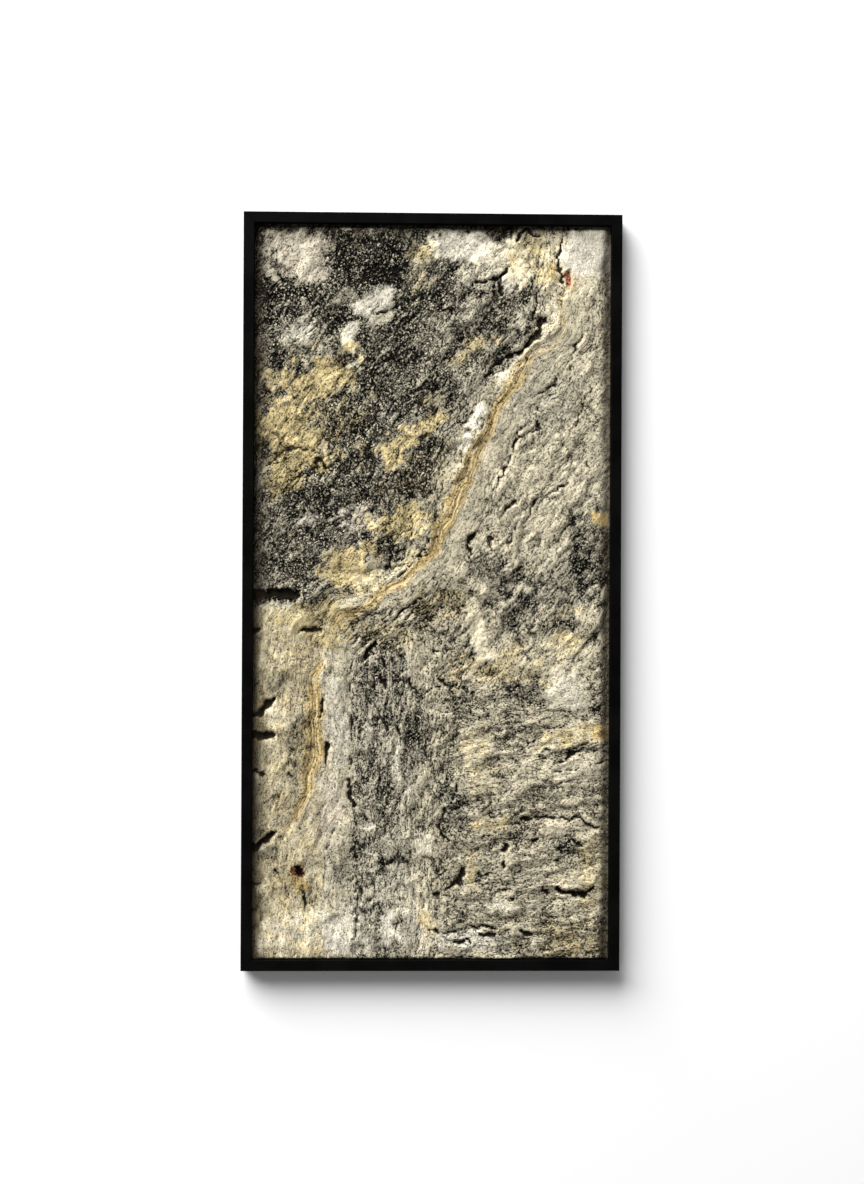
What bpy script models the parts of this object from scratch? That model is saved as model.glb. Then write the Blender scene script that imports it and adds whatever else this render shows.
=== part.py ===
"""Decorative wall panel: a cast rock-face relief in a slim black frame, hung on a hook rail.

Metres, +Z up. The relief looks along -Y and the panel's back meets the wall at +Y. The origin is
the middle of the bearing face under the hanging rail's hook, where the panel hangs.
"""

import math

import bmesh
import bpy
import numpy as np

# Panel outline
PANEL_WIDTH = 0.600
PANEL_HEIGHT = 1.200

# Frame rails: a rebated section, mitred at the corners
FACE_WIDTH = 0.017
LIP_THICKNESS = 0.016
REBATE_WIDTH = 0.006
EDGE_RADIUS = 0.001
ARC_STEPS = 3

# Fits
TOUCH_GAP = 0.0003
REBATE_CLEARANCE = 0.0015

# Relief slab and the board behind it
SLAB_EDGE_THICKNESS = 0.008
RELIEF_SETBACK = 0.003
RELIEF_STEP = 0.0052
SLAB_TRIANGLES = 7600
BOARD_THICKNESS = 0.006
BOARD_CHAMFER = 0.0006

# Hanging rail: a bent bar with a flange on the board and a hook that points down
RAIL_LENGTH = 0.400
RAIL_METAL = 0.002
RAIL_FLANGE_HEIGHT = 0.026
RAIL_BELOW_TOP = 0.110
HOOK_SLOT = 0.0046
HOOK_DROP = 0.014
HOOK_TO_WALL = 0.0028
SCREW_COUNT = 5
SCREW_END_DISTANCE = 0.020
SCREW_HOLE_RADIUS = 0.0022
SCREW_HOLE_SIDES = 16

# Depths, counted from the frame's front face towards the wall
SLAB_FRONT = LIP_THICKNESS + TOUCH_GAP
SLAB_BACK = SLAB_FRONT + SLAB_EDGE_THICKNESS
BOARD_FRONT = SLAB_BACK + TOUCH_GAP
BOARD_BACK = BOARD_FRONT + BOARD_THICKNESS
FLANGE_FRONT = BOARD_BACK + TOUCH_GAP
HOOK_FRONT = BOARD_BACK + HOOK_SLOT
HOOK_BACK = HOOK_FRONT + RAIL_METAL
PANEL_DEPTH = HOOK_BACK + HOOK_TO_WALL
BEARING_DEPTH = (FLANGE_FRONT + HOOK_FRONT) / 2

# Places that follow from the sizes
FRONT_Y = -BEARING_DEPTH
TOP_Z = RAIL_BELOW_TOP
BOTTOM_Z = TOP_Z - PANEL_HEIGHT
MIDDLE_Z = (TOP_Z + BOTTOM_Z) / 2
OPENING_WIDTH = PANEL_WIDTH - 2 * FACE_WIDTH
OPENING_HEIGHT = PANEL_HEIGHT - 2 * FACE_WIDTH
INSERT_LAP = REBATE_WIDTH - REBATE_CLEARANCE

# The carving is laid out on a field 100 across and 206 up, counted from the opening's lower left
# corner and stretched over the opening. Its heights are shares of the room above the slab's rim.
FIELD_WIDTH = 100.0
FIELD_HEIGHT = 206.0
RIM_ROLL = 3.6
MEAN_HEIGHT = 0.56
LOWEST = -0.12

# The rock all over: how wide each kind of form is on the field, and its height
BROAD_FORMS = (30.0, 0.15)
LARGE_FACES = (12.0, 0.23)
SMALL_FACES = (5.0, 0.12)
BED_WIDTH = 4.5
BED_LENGTH = 22.0
BED_RISE = 0.15
WANDER_SIZE = 9.0
CRACK_WANDER = 0.7
CRACK_NOTCH = 2.2

# The vein, from the top right corner down to the left edge, and how the rock steps across it
VEIN = [
    (91, 208), (88, 190), (85, 177), (77, 168), (69, 156.5), (61, 140), (55, 125), (50, 115),
    (42, 106), (33, 100), (25, 96), (20, 90), (17.5, 78), (17.5, 64), (16, 50), (11, 38), (5, 26),
]
VEIN_GROOVE = 1.1
VEIN_DEPTH = 0.10
BAND_WIDTH = 6.5
BAND_EDGE = 3.0
BAND_RISE = 0.10
BAND_SMOOTHING = 0.7

# Directions of the rock's beds in degrees from level, and how steep the steps between faces are
DIAGONAL_BEDS = 52
LEVEL_BEDS = 10
UPRIGHT_BEDS = 84
STEP_SHARPNESS = 16

# The upright rough column and how far it stands forward
COLUMN_LEFT = 27.6
COLUMN_RIGHT = 46.0
COLUMN_TOP = 92.0
COLUMN_RISE = 0.11

# Swells of the rock: centre, half sizes, turn in degrees, height
SWELLS = {
    "white facet": (33.5, 183.5, 7.0, 3.0, 35, 0.16),
    "round boss": (26.0, 185.5, 3.2, 3.0, 0, 0.12),
    "cream shoulder": (92.0, 198.0, 8.0, 7.0, 0, 0.10),
    "vein shoulder": (59.0, 150.0, 9.0, 4.0, 55, 0.10),
    "shelf": (7.0, 95.5, 11.0, 4.0, -6, 0.16),
    "left belly": (9.0, 84.0, 8.0, 9.0, 20, 0.10),
    "left block": (8.0, 68.5, 8.0, 4.5, 20, 0.14),
    "vein cushion": (23.0, 68.0, 4.5, 14.0, 4, 0.10),
    "pale strip": (63.5, 91.0, 3.0, 8.5, 10, 0.14),
    "pale cushion": (89.0, 76.0, 7.0, 7.0, 0, 0.12),
    "layered block": (84.0, 50.0, 15.0, 4.5, 8, 0.12),
    "right boss": (90.5, 22.5, 8.0, 3.8, 12, 0.24),
    "low boss": (70.5, 15.5, 4.0, 2.2, -8, 0.12),
    "low left belly": (17.0, 8.0, 13.0, 6.0, 0, 0.12),
    "dark hollow": (28.0, 194.0, 11.0, 6.0, 0, -0.16),
    "left hollow": (6.0, 108.0, 10.0, 3.5, 0, -0.12),
}

# Cracks, ledges and slots: half width, depth and the line each follows
CRACKS = {
    "overhang": (1.9, 0.80, [(-4, 102.3), (6, 102.0), (11, 101.6), (15, 102.6), (19, 105)]),
    "star": (0.7, 0.55, [(62.5, 190), (69, 191.5), (72.3, 194.5)]),
    "star foot": (0.7, 0.45, [(69, 191.5), (69, 187)]),
    "top slot": (0.8, 0.45, [(73, 202), (76, 205), (79, 203)]),
    "main slot": (0.9, 0.60, [(80, 178.5), (78, 174), (75, 171.5), (70, 168), (66, 165)]),
    "facet slit": (0.6, 0.45, [(31.5, 179), (37, 182.5)]),
    "ochre step": (0.9, 0.40, [(3, 141), (10, 143), (20, 142), (17, 138), (14, 137)]),
    "right split": (0.8, 0.50, [(68.5, 132.5), (70, 136), (73, 145), (80, 150.5)]),
    "lower split": (0.8, 0.45, [(69, 124), (71.5, 127.5), (74.5, 130)]),
    "corner crack": (0.7, 0.50, [(60.5, 111), (60.3, 117.5), (63, 120)]),
    "left gash": (1.2, 0.75, [(-3, 67.5), (2, 69), (6, 74), (10.5, 77)]),
    "left notch": (1.3, 0.70, [(-3, 62.5), (4, 63.5), (9, 60.5), (12.5, 58.5)]),
    "left foot": (1.5, 0.70, [(-3, 30), (2.5, 32), (5.5, 36)]),
    "left bite": (1.8, 0.60, [(-3, 92), (1.5, 92.5)]),
    "shelf slot": (1.0, 0.60, [(13.5, 91.8), (17, 92), (21.5, 95)]),
    "vein slot": (0.8, 0.55, [(20.3, 74), (18.8, 68)]),
    "vein hole": (0.9, 0.65, [(20.4, 61), (20.2, 55)]),
    "column edge": (1.1, 0.60, [(27.4, 52), (27.4, 46.5), (28.8, 42), (28.4, 36)]),
    "column hole": (1.0, 0.60, [(31.5, 84.5), (32.5, 87), (35, 89.5)]),
    "layer slot": (0.7, 0.50, [(81, 57), (87, 55.5), (90, 57.8), (93, 59)]),
    "boss shadow": (0.9, 0.70, [(85, 20), (88, 18.4), (92, 18.3), (95.5, 20)]),
    "amber hole": (1.5, 0.65, [(13.5, 25.5), (14.3, 24)]),
    "amber foot": (0.8, 0.45, [(11, 20.5), (14, 18.5), (14.7, 15.5)]),
    "low slot": (0.8, 0.50, [(63.5, 6.6), (68, 7)]),
    "low hole": (1.5, 0.60, [(76, 7.4), (78, 6.6)]),
    "low pits": (1.3, 0.45, [(51, 18), (57.5, 21.5), (59.5, 25.5)]),
}


def clear_scene():
    for obj in list(bpy.data.objects):
        bpy.data.objects.remove(obj, do_unlink=True)


def make_material(name, colour, roughness, metallic):
    material = bpy.data.materials.new(name)
    material.use_nodes = True
    shader = material.node_tree.nodes["Principled BSDF"]
    shader.inputs["Base Color"].default_value = (*colour, 1.0)
    shader.inputs["Roughness"].default_value = roughness
    shader.inputs["Metallic"].default_value = metallic
    return material


def add_object(name, mesh, material):
    obj = bpy.data.objects.new(name, mesh)
    bpy.context.scene.collection.objects.link(obj)
    if material:
        mesh.materials.append(material)
    return obj


def prism(name, low_ring, high_ring, material):
    """A solid between two rings of points, one straight across from the other."""
    count = len(low_ring)
    faces = [(i, (i + 1) % count, count + (i + 1) % count, count + i) for i in range(count)]
    faces.append(tuple(reversed(range(count))))
    faces.append(tuple(range(count, 2 * count)))
    mesh = bpy.data.meshes.new(name)
    mesh.from_pydata([*low_ring, *high_ring], [], faces)
    shape = bmesh.new()
    shape.from_mesh(mesh)
    bmesh.ops.recalc_face_normals(shape, faces=shape.faces)
    shape.to_mesh(mesh)
    shape.free()
    return add_object(name, mesh, material)


def rail_section():
    """The rail's outline as (distance in from the panel's edge, depth), edges rounded in front."""
    turns = [math.radians(90 * step / ARC_STEPS) for step in range(ARC_STEPS + 1)]
    outer = [(EDGE_RADIUS * (1 - math.cos(t)), EDGE_RADIUS * (1 - math.sin(t))) for t in turns]
    inner = [(FACE_WIDTH - across, depth) for across, depth in reversed(outer)]
    rebate_wall = FACE_WIDTH - REBATE_WIDTH
    return [
        (0, PANEL_DEPTH), *outer, *inner, (FACE_WIDTH, LIP_THICKNESS),
        (rebate_wall, LIP_THICKNESS), (rebate_wall, PANEL_DEPTH),
    ]


def frame_rail(side, outer_length, edge_x, edge_z, turn, material):
    """One mitred rail, modelled along X with its outer edge on the X axis, then turned to its side."""
    mitre_cut = TOUCH_GAP / 2 * math.sqrt(2)
    rings = [
        [(end * (outer_length / 2 - across - mitre_cut), depth, -across)
         for across, depth in rail_section()]
        for end in (-1, 1)
    ]
    rail = prism(f"frame_rail_{side}", *rings, material)
    rail.location = (edge_x, FRONT_Y, edge_z)
    rail.rotation_euler.y = math.radians(turn)
    return rail


def build_frame(material):
    half_width = PANEL_WIDTH / 2
    frame_rail("top", PANEL_WIDTH, 0, TOP_Z, 0, material)
    frame_rail("right", PANEL_HEIGHT, half_width, MIDDLE_Z, 90, material)
    frame_rail("bottom", PANEL_WIDTH, 0, BOTTOM_Z, 180, material)
    frame_rail("left", PANEL_HEIGHT, -half_width, MIDDLE_Z, -90, material)


def ease(low, high, value):
    """0 below low, 1 above high, and a smooth rise between."""
    share = np.clip((value - low) / (high - low), 0, 1)
    return share * share * (3 - 2 * share)


def random_share(column, row, seed):
    """A steady pseudo-random number from 0 to 1 for each square of a grid."""
    mixed = (column * 374761393 + row * 668265263 + seed * 974634777) & 0xFFFFFFFF
    mixed = ((mixed ^ (mixed >> 13)) * 1274126177) & 0xFFFFFFFF
    return (mixed ^ (mixed >> 16)) / 0xFFFFFFFF


def noise(x, y, seed):
    """Gradient noise from about -1 to 1, one bump to a unit."""
    column, row = np.floor(x).astype(np.int64), np.floor(y).astype(np.int64)
    x, y = x - column, y - row
    ease_x, ease_y = (t * t * t * (t * (t * 6 - 15) + 10) for t in (x, y))

    def corner(right, up):
        angle = 2 * np.pi * random_share(column + right, row + up, seed)
        return np.cos(angle) * (x - right) + np.sin(angle) * (y - up)

    low = corner(0, 0) + ease_x * (corner(1, 0) - corner(0, 0))
    high = corner(0, 1) + ease_x * (corner(1, 1) - corner(0, 1))
    return 1.5 * (low + ease_y * (high - low))


def rough_noise(x, y, seed, octaves):
    """Noise with finer and weaker noise added to it."""
    return sum(noise(x * 2**i, y * 2**i, seed + i) / 2**i for i in range(octaves))


def facets(x, y, seed):
    """Broken faces from about -1 to 1: each cell of a jittered grid is a plane with its own tilt
    and level, and neighbouring planes meet in a short steep step."""
    column, row = np.floor(x).astype(np.int64), np.floor(y).astype(np.int64)
    total = np.zeros(x.shape)
    weights = np.zeros(x.shape)
    for right in (-1, 0, 1):
        for up in (-1, 0, 1):
            shares = [random_share(column + right, row + up, seed + i) for i in range(4)]
            away_x = x - column - right - shares[0]
            away_y = y - row - up - shares[1]
            tilt = 2 * np.pi * shares[2]
            plane = away_x * np.cos(tilt) + away_y * np.sin(tilt) + 1.2 * (shares[3] - 0.5)
            weight = np.exp(-STEP_SHARPNESS * np.hypot(away_x, away_y))
            total += weight * plane
            weights += weight
    return total / weights


def beds_along(u, v, degrees, seed):
    """Noise drawn out along one direction, for beds and layers of the rock."""
    cos, sin = math.cos(math.radians(degrees)), math.sin(math.radians(degrees))
    along = u * cos + v * sin
    across = v * cos - u * sin
    return rough_noise(along / BED_LENGTH, across / BED_WIDTH, seed, 2)


def beside_line(u, v, line):
    """Distance from a line of points, positive on its left as it runs, and the length run."""
    nearest = np.full(u.shape, 1e9)
    side = np.zeros(u.shape)
    run = np.zeros(u.shape)
    length = 0.0
    for (u0, v0), (u1, v1) in zip(line, line[1:]):
        du, dv = u1 - u0, v1 - v0
        step = math.hypot(du, dv)
        share = np.clip(((u - u0) * du + (v - v0) * dv) / step**2, 0, 1)
        distance = np.hypot(u - u0 - share * du, v - v0 - share * dv)
        closer = distance < nearest
        side = np.where(closer, np.sign(du * (v - v0) - dv * (u - u0)), side)
        run = np.where(closer, length + share * step, run)
        nearest = np.minimum(nearest, distance)
        length += step
    return nearest * side, run


def swell(u, v, centre_u, centre_v, half_u, half_v, turn):
    """1 at the middle of a turned oval and 0 outside it."""
    cos, sin = math.cos(math.radians(turn)), math.sin(math.radians(turn))
    along = ((u - centre_u) * cos + (v - centre_v) * sin) / half_u
    across = ((v - centre_v) * cos - (u - centre_u) * sin) / half_v
    return 1 - ease(0.5, 1.25, np.hypot(along, across))


def bedding(u, v, beside, run):
    """The beds' rise and fall: diagonal at the top, level at the lower right, upright at the lower
    left, and along the vein close to it."""
    beds = beds_along(u, v, DIAGONAL_BEDS, 31)
    level = ease(45, 65, u) * (1 - ease(60, 90, v))
    beds += level * (beds_along(u, v, LEVEL_BEDS, 41) - beds)
    upright = (1 - ease(45, 60, u)) * (1 - ease(85, 105, v))
    beds += upright * (beds_along(u, v, UPRIGHT_BEDS, 45) - beds)
    near_vein = 1 - ease(8, 18, np.abs(beside))
    vein_beds = rough_noise(run / BED_LENGTH, beside / BED_WIDTH, 35, 2)
    return beds + near_vein * (vein_beds - beds)


def crack_share(u, v, half_width, line):
    """1 in the middle of a crack and 0 beside it; the crack is ragged and thins out at its ends."""
    away, run = beside_line(u, v, line)
    length = sum(math.dist(start, end) for start, end in zip(line, line[1:]))
    taper = ease(-0.3, 0.3, run / length) * ease(-0.3, 0.3, 1 - run / length)
    notches = 1 + 0.55 * noise(u / CRACK_NOTCH, v / CRACK_NOTCH, 81)
    width = half_width * (0.2 + 0.8 * taper) * notches
    return 1 - ease(0.25, 1.5, np.abs(away) / width)


def relief_height(u, v):
    """The rock's height at a point of the layout field, as a share of the room above the rim."""
    edge = np.minimum(np.minimum(u, FIELD_WIDTH - u), np.minimum(v, FIELD_HEIGHT - v))
    wander_u = rough_noise(u / WANDER_SIZE, v / WANDER_SIZE, 11, 3)
    wander_v = rough_noise(u / WANDER_SIZE, v / WANDER_SIZE, 21, 3)
    ragged_u = u + wander_u
    ragged_v = v + wander_v
    beside, run = beside_line(ragged_u, ragged_v, VEIN)

    band = ease(-0.5, 1.0, beside) * (1 - ease(BAND_WIDTH, BAND_WIDTH + BAND_EDGE, beside))
    column = (
        ease(COLUMN_LEFT - 0.8, COLUMN_LEFT + 0.8, ragged_u)
        * (1 - ease(COLUMN_RIGHT - 5, COLUMN_RIGHT + 3, ragged_u))
        * (1 - ease(COLUMN_TOP - 8, COLUMN_TOP, ragged_v))
    )
    broad_size, broad_rise = BROAD_FORMS
    rock = BED_RISE * bedding(ragged_u, ragged_v, beside, run)
    for seed, (size, rise) in ((61, LARGE_FACES), (71, SMALL_FACES)):
        rock += rise * facets(ragged_u / size, ragged_v / size, seed)
    height = MEAN_HEIGHT + broad_rise * rough_noise(u / broad_size, v / broad_size, 51, 2)
    height += (1 - BAND_SMOOTHING * band) * rock
    height += BAND_RISE * band + COLUMN_RISE * column
    height -= VEIN_DEPTH * (1 - ease(0, VEIN_GROOVE, np.abs(beside)))
    for *oval, rise in SWELLS.values():
        height += rise * swell(ragged_u, ragged_v, *oval)
    crack_u = u + CRACK_WANDER * wander_u
    crack_v = v + CRACK_WANDER * wander_v
    for half_width, depth, line in CRACKS.values():
        height -= depth * crack_share(crack_u, crack_v, half_width, line)
    rolled = ease(0, RIM_ROLL, edge + 0.5 * wander_u * ease(0, 1, edge))
    return np.clip(height, LOWEST, 1.0) * rolled


def carved_sheet():
    """The slab's front as a fine grid: the carving inside the opening and a flat rim around it."""
    columns = round(OPENING_WIDTH / RELIEF_STEP)
    rows = round(OPENING_HEIGHT / RELIEF_STEP)
    u, v = np.meshgrid(np.linspace(0, FIELD_WIDTH, columns), np.linspace(0, FIELD_HEIGHT, rows))
    height = np.pad(relief_height(u, v), 1)
    x = np.linspace(-OPENING_WIDTH / 2, OPENING_WIDTH / 2, columns)
    x = np.concatenate([[x[0] - INSERT_LAP], x, [x[-1] + INSERT_LAP]])
    z = np.linspace(BOTTOM_Z + FACE_WIDTH, TOP_Z - FACE_WIDTH, rows)
    z = np.concatenate([[z[0] - INSERT_LAP], z, [z[-1] + INSERT_LAP]])
    x, z = np.meshgrid(x, z)
    y = FRONT_Y + SLAB_FRONT - height * (LIP_THICKNESS - RELIEF_SETBACK)
    points = np.stack([x, y, z], axis=-1).reshape(-1, 3)
    number = np.arange(x.size).reshape(x.shape)
    squares = np.stack(
        [number[:-1, :-1], number[:-1, 1:], number[1:, 1:], number[1:, :-1]], axis=-1
    ).reshape(-1, 4)
    mesh = bpy.data.meshes.new("carved_sheet")
    mesh.from_pydata(points.tolist(), [], squares.tolist())
    return mesh


def build_slab(material):
    """The carved front, thinned where the rock is plain, with its sides and flat back added."""
    sheet = add_object("carved_sheet", carved_sheet(), None)
    thin = sheet.modifiers.new("thin", "DECIMATE")
    thin.ratio = SLAB_TRIANGLES / (2 * len(sheet.data.polygons))
    thinned = sheet.evaluated_get(bpy.context.evaluated_depsgraph_get())
    shape = bmesh.new()
    shape.from_mesh(thinned.to_mesh())
    bpy.data.objects.remove(sheet, do_unlink=True)

    rim = [edge for edge in shape.edges if edge.is_boundary]
    sides = bmesh.ops.extrude_edge_only(shape, edges=rim)["geom"]
    for vertex in (part for part in sides if isinstance(part, bmesh.types.BMVert)):
        vertex.co.y = FRONT_Y + SLAB_BACK
    bmesh.ops.holes_fill(shape, edges=[edge for edge in shape.edges if edge.is_boundary])
    bmesh.ops.recalc_face_normals(shape, faces=shape.faces)
    mesh = bpy.data.meshes.new("rock_relief_slab")
    shape.to_mesh(mesh)
    shape.free()
    mesh.shade_smooth()
    mesh.set_sharp_from_angle(angle=math.radians(35))
    return add_object("rock_relief_slab", mesh, material)


def build_board(material):
    """The flat board behind the slab, in the same rebate."""
    half_width = OPENING_WIDTH / 2 + INSERT_LAP
    low_z = BOTTOM_Z + FACE_WIDTH - INSERT_LAP
    high_z = TOP_Z - FACE_WIDTH + INSERT_LAP
    outline = [(-half_width, low_z), (half_width, low_z), (half_width, high_z), (-half_width, high_z)]
    rings = [
        [(x, FRONT_Y + depth, z) for x, z in outline] for depth in (BOARD_FRONT, BOARD_BACK)
    ]
    board = prism("backing_board", *rings, material)
    chamfer = board.modifiers.new("chamfer", "BEVEL")
    chamfer.width = BOARD_CHAMFER
    chamfer.segments = 1
    return board


def build_hanging_rail(material):
    """The bent bar: an upright flange against the board, a short shelf, and a hook pointing down."""
    flange_back = FLANGE_FRONT + RAIL_METAL
    section = [
        (FLANGE_FRONT, 0), (HOOK_FRONT, 0), (HOOK_FRONT, -HOOK_DROP), (HOOK_BACK, -HOOK_DROP),
        (HOOK_BACK, RAIL_METAL), (flange_back, RAIL_METAL), (flange_back, RAIL_FLANGE_HEIGHT),
        (FLANGE_FRONT, RAIL_FLANGE_HEIGHT),
    ]
    rings = [
        [(end * RAIL_LENGTH / 2, FRONT_Y + depth, z) for depth, z in section] for end in (-1, 1)
    ]
    rail = prism("hanging_rail", *rings, material)
    screw_z = (RAIL_METAL + RAIL_FLANGE_HEIGHT) / 2
    screw_span = RAIL_LENGTH - 2 * SCREW_END_DISTANCE
    drill = bmesh.new()
    for number in range(SCREW_COUNT):
        hole = bmesh.ops.create_cone(
            drill, cap_ends=True, segments=SCREW_HOLE_SIDES, radius1=SCREW_HOLE_RADIUS,
            radius2=SCREW_HOLE_RADIUS, depth=3 * RAIL_METAL,
        )["verts"]
        for vertex in hole:
            vertex.co = (
                vertex.co.x + screw_span * (number / (SCREW_COUNT - 1) - 0.5),
                vertex.co.z + FRONT_Y + (FLANGE_FRONT + flange_back) / 2,
                vertex.co.y + screw_z,
            )
    bmesh.ops.recalc_face_normals(drill, faces=drill.faces)
    drill_mesh = bpy.data.meshes.new("screw_drill")
    drill.to_mesh(drill_mesh)
    drill.free()
    cutter = add_object("screw_drill", drill_mesh, None)
    cutter.hide_render = True
    cutter.display_type = "WIRE"
    holes = rail.modifiers.new("screw holes", "BOOLEAN")
    holes.object = cutter
    holes.operation = "DIFFERENCE"
    holes.solver = "EXACT"
    return rail


clear_scene()
build_frame(make_material("black_lacquer", (0.012, 0.012, 0.011), 0.35, 0.0))
build_slab(make_material("cast_rock", (0.38, 0.34, 0.26), 0.88, 0.0))
build_board(make_material("backing_board", (0.30, 0.21, 0.13), 0.80, 0.0))
build_hanging_rail(make_material("mill_aluminium", (0.74, 0.75, 0.76), 0.38, 1.0))
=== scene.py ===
import math

import bpy
import numpy as np
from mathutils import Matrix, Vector


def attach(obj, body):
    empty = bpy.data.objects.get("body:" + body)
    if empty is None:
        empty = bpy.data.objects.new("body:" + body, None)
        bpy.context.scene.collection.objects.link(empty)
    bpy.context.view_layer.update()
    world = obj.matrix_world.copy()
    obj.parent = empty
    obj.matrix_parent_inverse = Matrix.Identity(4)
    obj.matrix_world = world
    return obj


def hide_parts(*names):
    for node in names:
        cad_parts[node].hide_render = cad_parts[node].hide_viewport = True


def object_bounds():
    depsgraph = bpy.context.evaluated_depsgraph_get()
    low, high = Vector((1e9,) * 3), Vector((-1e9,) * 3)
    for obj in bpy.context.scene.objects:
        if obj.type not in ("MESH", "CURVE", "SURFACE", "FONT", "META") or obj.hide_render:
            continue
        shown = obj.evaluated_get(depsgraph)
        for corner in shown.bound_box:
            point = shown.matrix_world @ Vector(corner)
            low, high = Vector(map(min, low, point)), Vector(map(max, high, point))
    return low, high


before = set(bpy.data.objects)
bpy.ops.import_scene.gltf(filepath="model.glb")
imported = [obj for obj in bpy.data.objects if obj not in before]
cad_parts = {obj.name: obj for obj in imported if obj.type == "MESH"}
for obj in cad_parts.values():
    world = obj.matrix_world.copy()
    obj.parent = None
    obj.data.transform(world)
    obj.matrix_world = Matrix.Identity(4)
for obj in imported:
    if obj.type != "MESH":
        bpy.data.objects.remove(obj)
cadBox = [list(corner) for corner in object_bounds()]
print("frame loaded:", ", ".join(sorted(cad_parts)))


class Wire:
    # One socket in a material's nodes. Arithmetic on it adds Math nodes, and add() any other node.
    def __init__(self, tree, socket=None):
        self.tree, self.socket = tree, socket

    def feed(self, node, inputs):
        # Links a Wire to its socket, and sets any other value on it.
        for name, value in inputs.items():
            if isinstance(value, Wire):
                self.tree.links.new(value.socket, node.inputs[name])
            else:
                node.inputs[name].default_value = value

    def add(self, kind, settings=None, inputs=None, out=0):
        # A new node of this type: settings first, then its sockets, then the output asked for.
        node = self.tree.nodes.new("ShaderNode" + kind)
        for name, value in (settings or {}).items():
            if name == "stops":
                ramp = node.color_ramp.elements
                ramp.remove(ramp[1])
                ramp[0].position, ramp[0].color = value[0][0], (*value[0][1], 1)
                for spot, colour in value[1:]:
                    ramp.new(spot).color = (*colour, 1)
            else:
                setattr(node, name, value)
        self.feed(node, inputs or {})
        return Wire(self.tree, node.outputs[out])

    def math(self, operation, *values):
        return self.add("Math", {"operation": operation}, dict(enumerate(values)))

    def __add__(self, other):
        return self.math("ADD", self, other)

    def __sub__(self, other):
        return self.math("SUBTRACT", self, other)

    def __rsub__(self, other):
        return self.math("SUBTRACT", other, self)

    def __mul__(self, other):
        return self.math("MULTIPLY", self, other)

    def __pow__(self, other):
        return self.math("POWER", self, other)

    __radd__, __rmul__ = __add__, __mul__

    def rise(self, low, high):
        # 0 below low, 1 above high, and a smooth rise between.
        settings = {"interpolation_type": "SMOOTHSTEP"}
        return self.add("MapRange", settings, {0: self, 1: low, 2: high})

    def toward(self, share, other):
        # This value, moved to the other one by a share from 0 to 1.
        return self + share * (other - self)

    def colours(self, share, low, high):
        # The low colour, and the high one where share is 1.
        return self.add("Mix", {"data_type": "RGBA"}, {0: share, 6: low, 7: high}, 2)

    def object(self):
        return self.add("TexCoord", out="Object")

    def painted(self, name, out="Fac"):
        # What numpy has written on the mesh's points under this name.
        return self.add("Attribute", {"attribute_name": name}, out=out)

    def grain(self, place, size, detail=2.0, stretch=1.0, degrees=0.0, rough=0.5, out=0):
        # Noise whose spots are size wide, and stretch times as long in a direction of the XZ plane.
        spot = self.add("Mapping", {"vector_type": "TEXTURE"}, {
            "Vector": place, "Rotation": (0, -math.radians(degrees), 0),
            "Scale": (size * stretch, size, size),
        })
        inputs = {"Vector": spot, "Scale": 1.0, "Detail": detail, "Roughness": rough}
        return self.add("TexNoise", {}, inputs, out)

    def bump(self, height, distance, strength=1.0):
        inputs = {"Height": height, "Distance": distance, "Strength": strength}
        return self.add("Bump", {}, inputs)


def newFinish(name, constants):
    # A material with its plain values set; returns it with a Wire to start from and its shader.
    material = bpy.data.materials.new(name)
    material.use_nodes = True
    shader = material.node_tree.nodes["Principled BSDF"]
    start = Wire(material.node_tree)
    start.feed(shader, constants)
    return material, start, shader


def ease(low, high, value):
    # Smooth step: t clipped to 0..1, then t squared times 3 minus 2t.
    share = np.clip((value - low) / (high - low), 0, 1)
    return share * share * (3 - 2 * share)


def randomShare(column, row, seed):
    # Integer hash of a grid square, as a share from 0 to 1.
    mixed = (column * 374761393 + row * 668265263 + seed * 974634777) & 0xFFFFFFFF
    mixed = ((mixed ^ (mixed >> 13)) * 1274126177) & 0xFFFFFFFF
    return (mixed ^ (mixed >> 16)) / 0xFFFFFFFF


def noise(x, y, seed):
    # Gradient noise: a random slope at each grid corner, blended with a fifth-power ease.
    column, row = np.floor(x).astype(np.int64), np.floor(y).astype(np.int64)
    x, y = x - column, y - row
    easeX, easeY = (t * t * t * (t * (t * 6 - 15) + 10) for t in (x, y))

    def corner(right, up):
        angle = 2 * np.pi * randomShare(column + right, row + up, seed)
        return np.cos(angle) * (x - right) + np.sin(angle) * (y - up)

    low = corner(0, 0) + easeX * (corner(1, 0) - corner(0, 0))
    high = corner(0, 1) + easeX * (corner(1, 1) - corner(0, 1))
    return 1.5 * (low + easeY * (high - low))


def roughNoise(x, y, seed, octaves):
    # Sum of noises, each of half the size and half the height of the one before.
    return sum(noise(x * 2**i, y * 2**i, seed + i) / 2**i for i in range(octaves))


def facets(x, y, seed, sharpness=16):
    # Tilted planes on a jittered grid, each weighted by exp(-sharpness times its distance).
    column, row = np.floor(x).astype(np.int64), np.floor(y).astype(np.int64)
    total, weights = np.zeros(x.shape), np.zeros(x.shape)
    for right in (-1, 0, 1):
        for up in (-1, 0, 1):
            shares = [randomShare(column + right, row + up, seed + i) for i in range(4)]
            awayX = x - column - right - shares[0]
            awayY = y - row - up - shares[1]
            tilt = 2 * np.pi * shares[2]
            plane = awayX * np.cos(tilt) + awayY * np.sin(tilt) + 1.2 * (shares[3] - 0.5)
            weight = np.exp(-sharpness * np.hypot(awayX, awayY))
            total += weight * plane
            weights += weight
    return total / weights


def turned(u, v, degrees):
    # The distance along a direction and the distance across it.
    cos, sin = math.cos(math.radians(degrees)), math.sin(math.radians(degrees))
    return u * cos + v * sin, v * cos - u * sin


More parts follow.
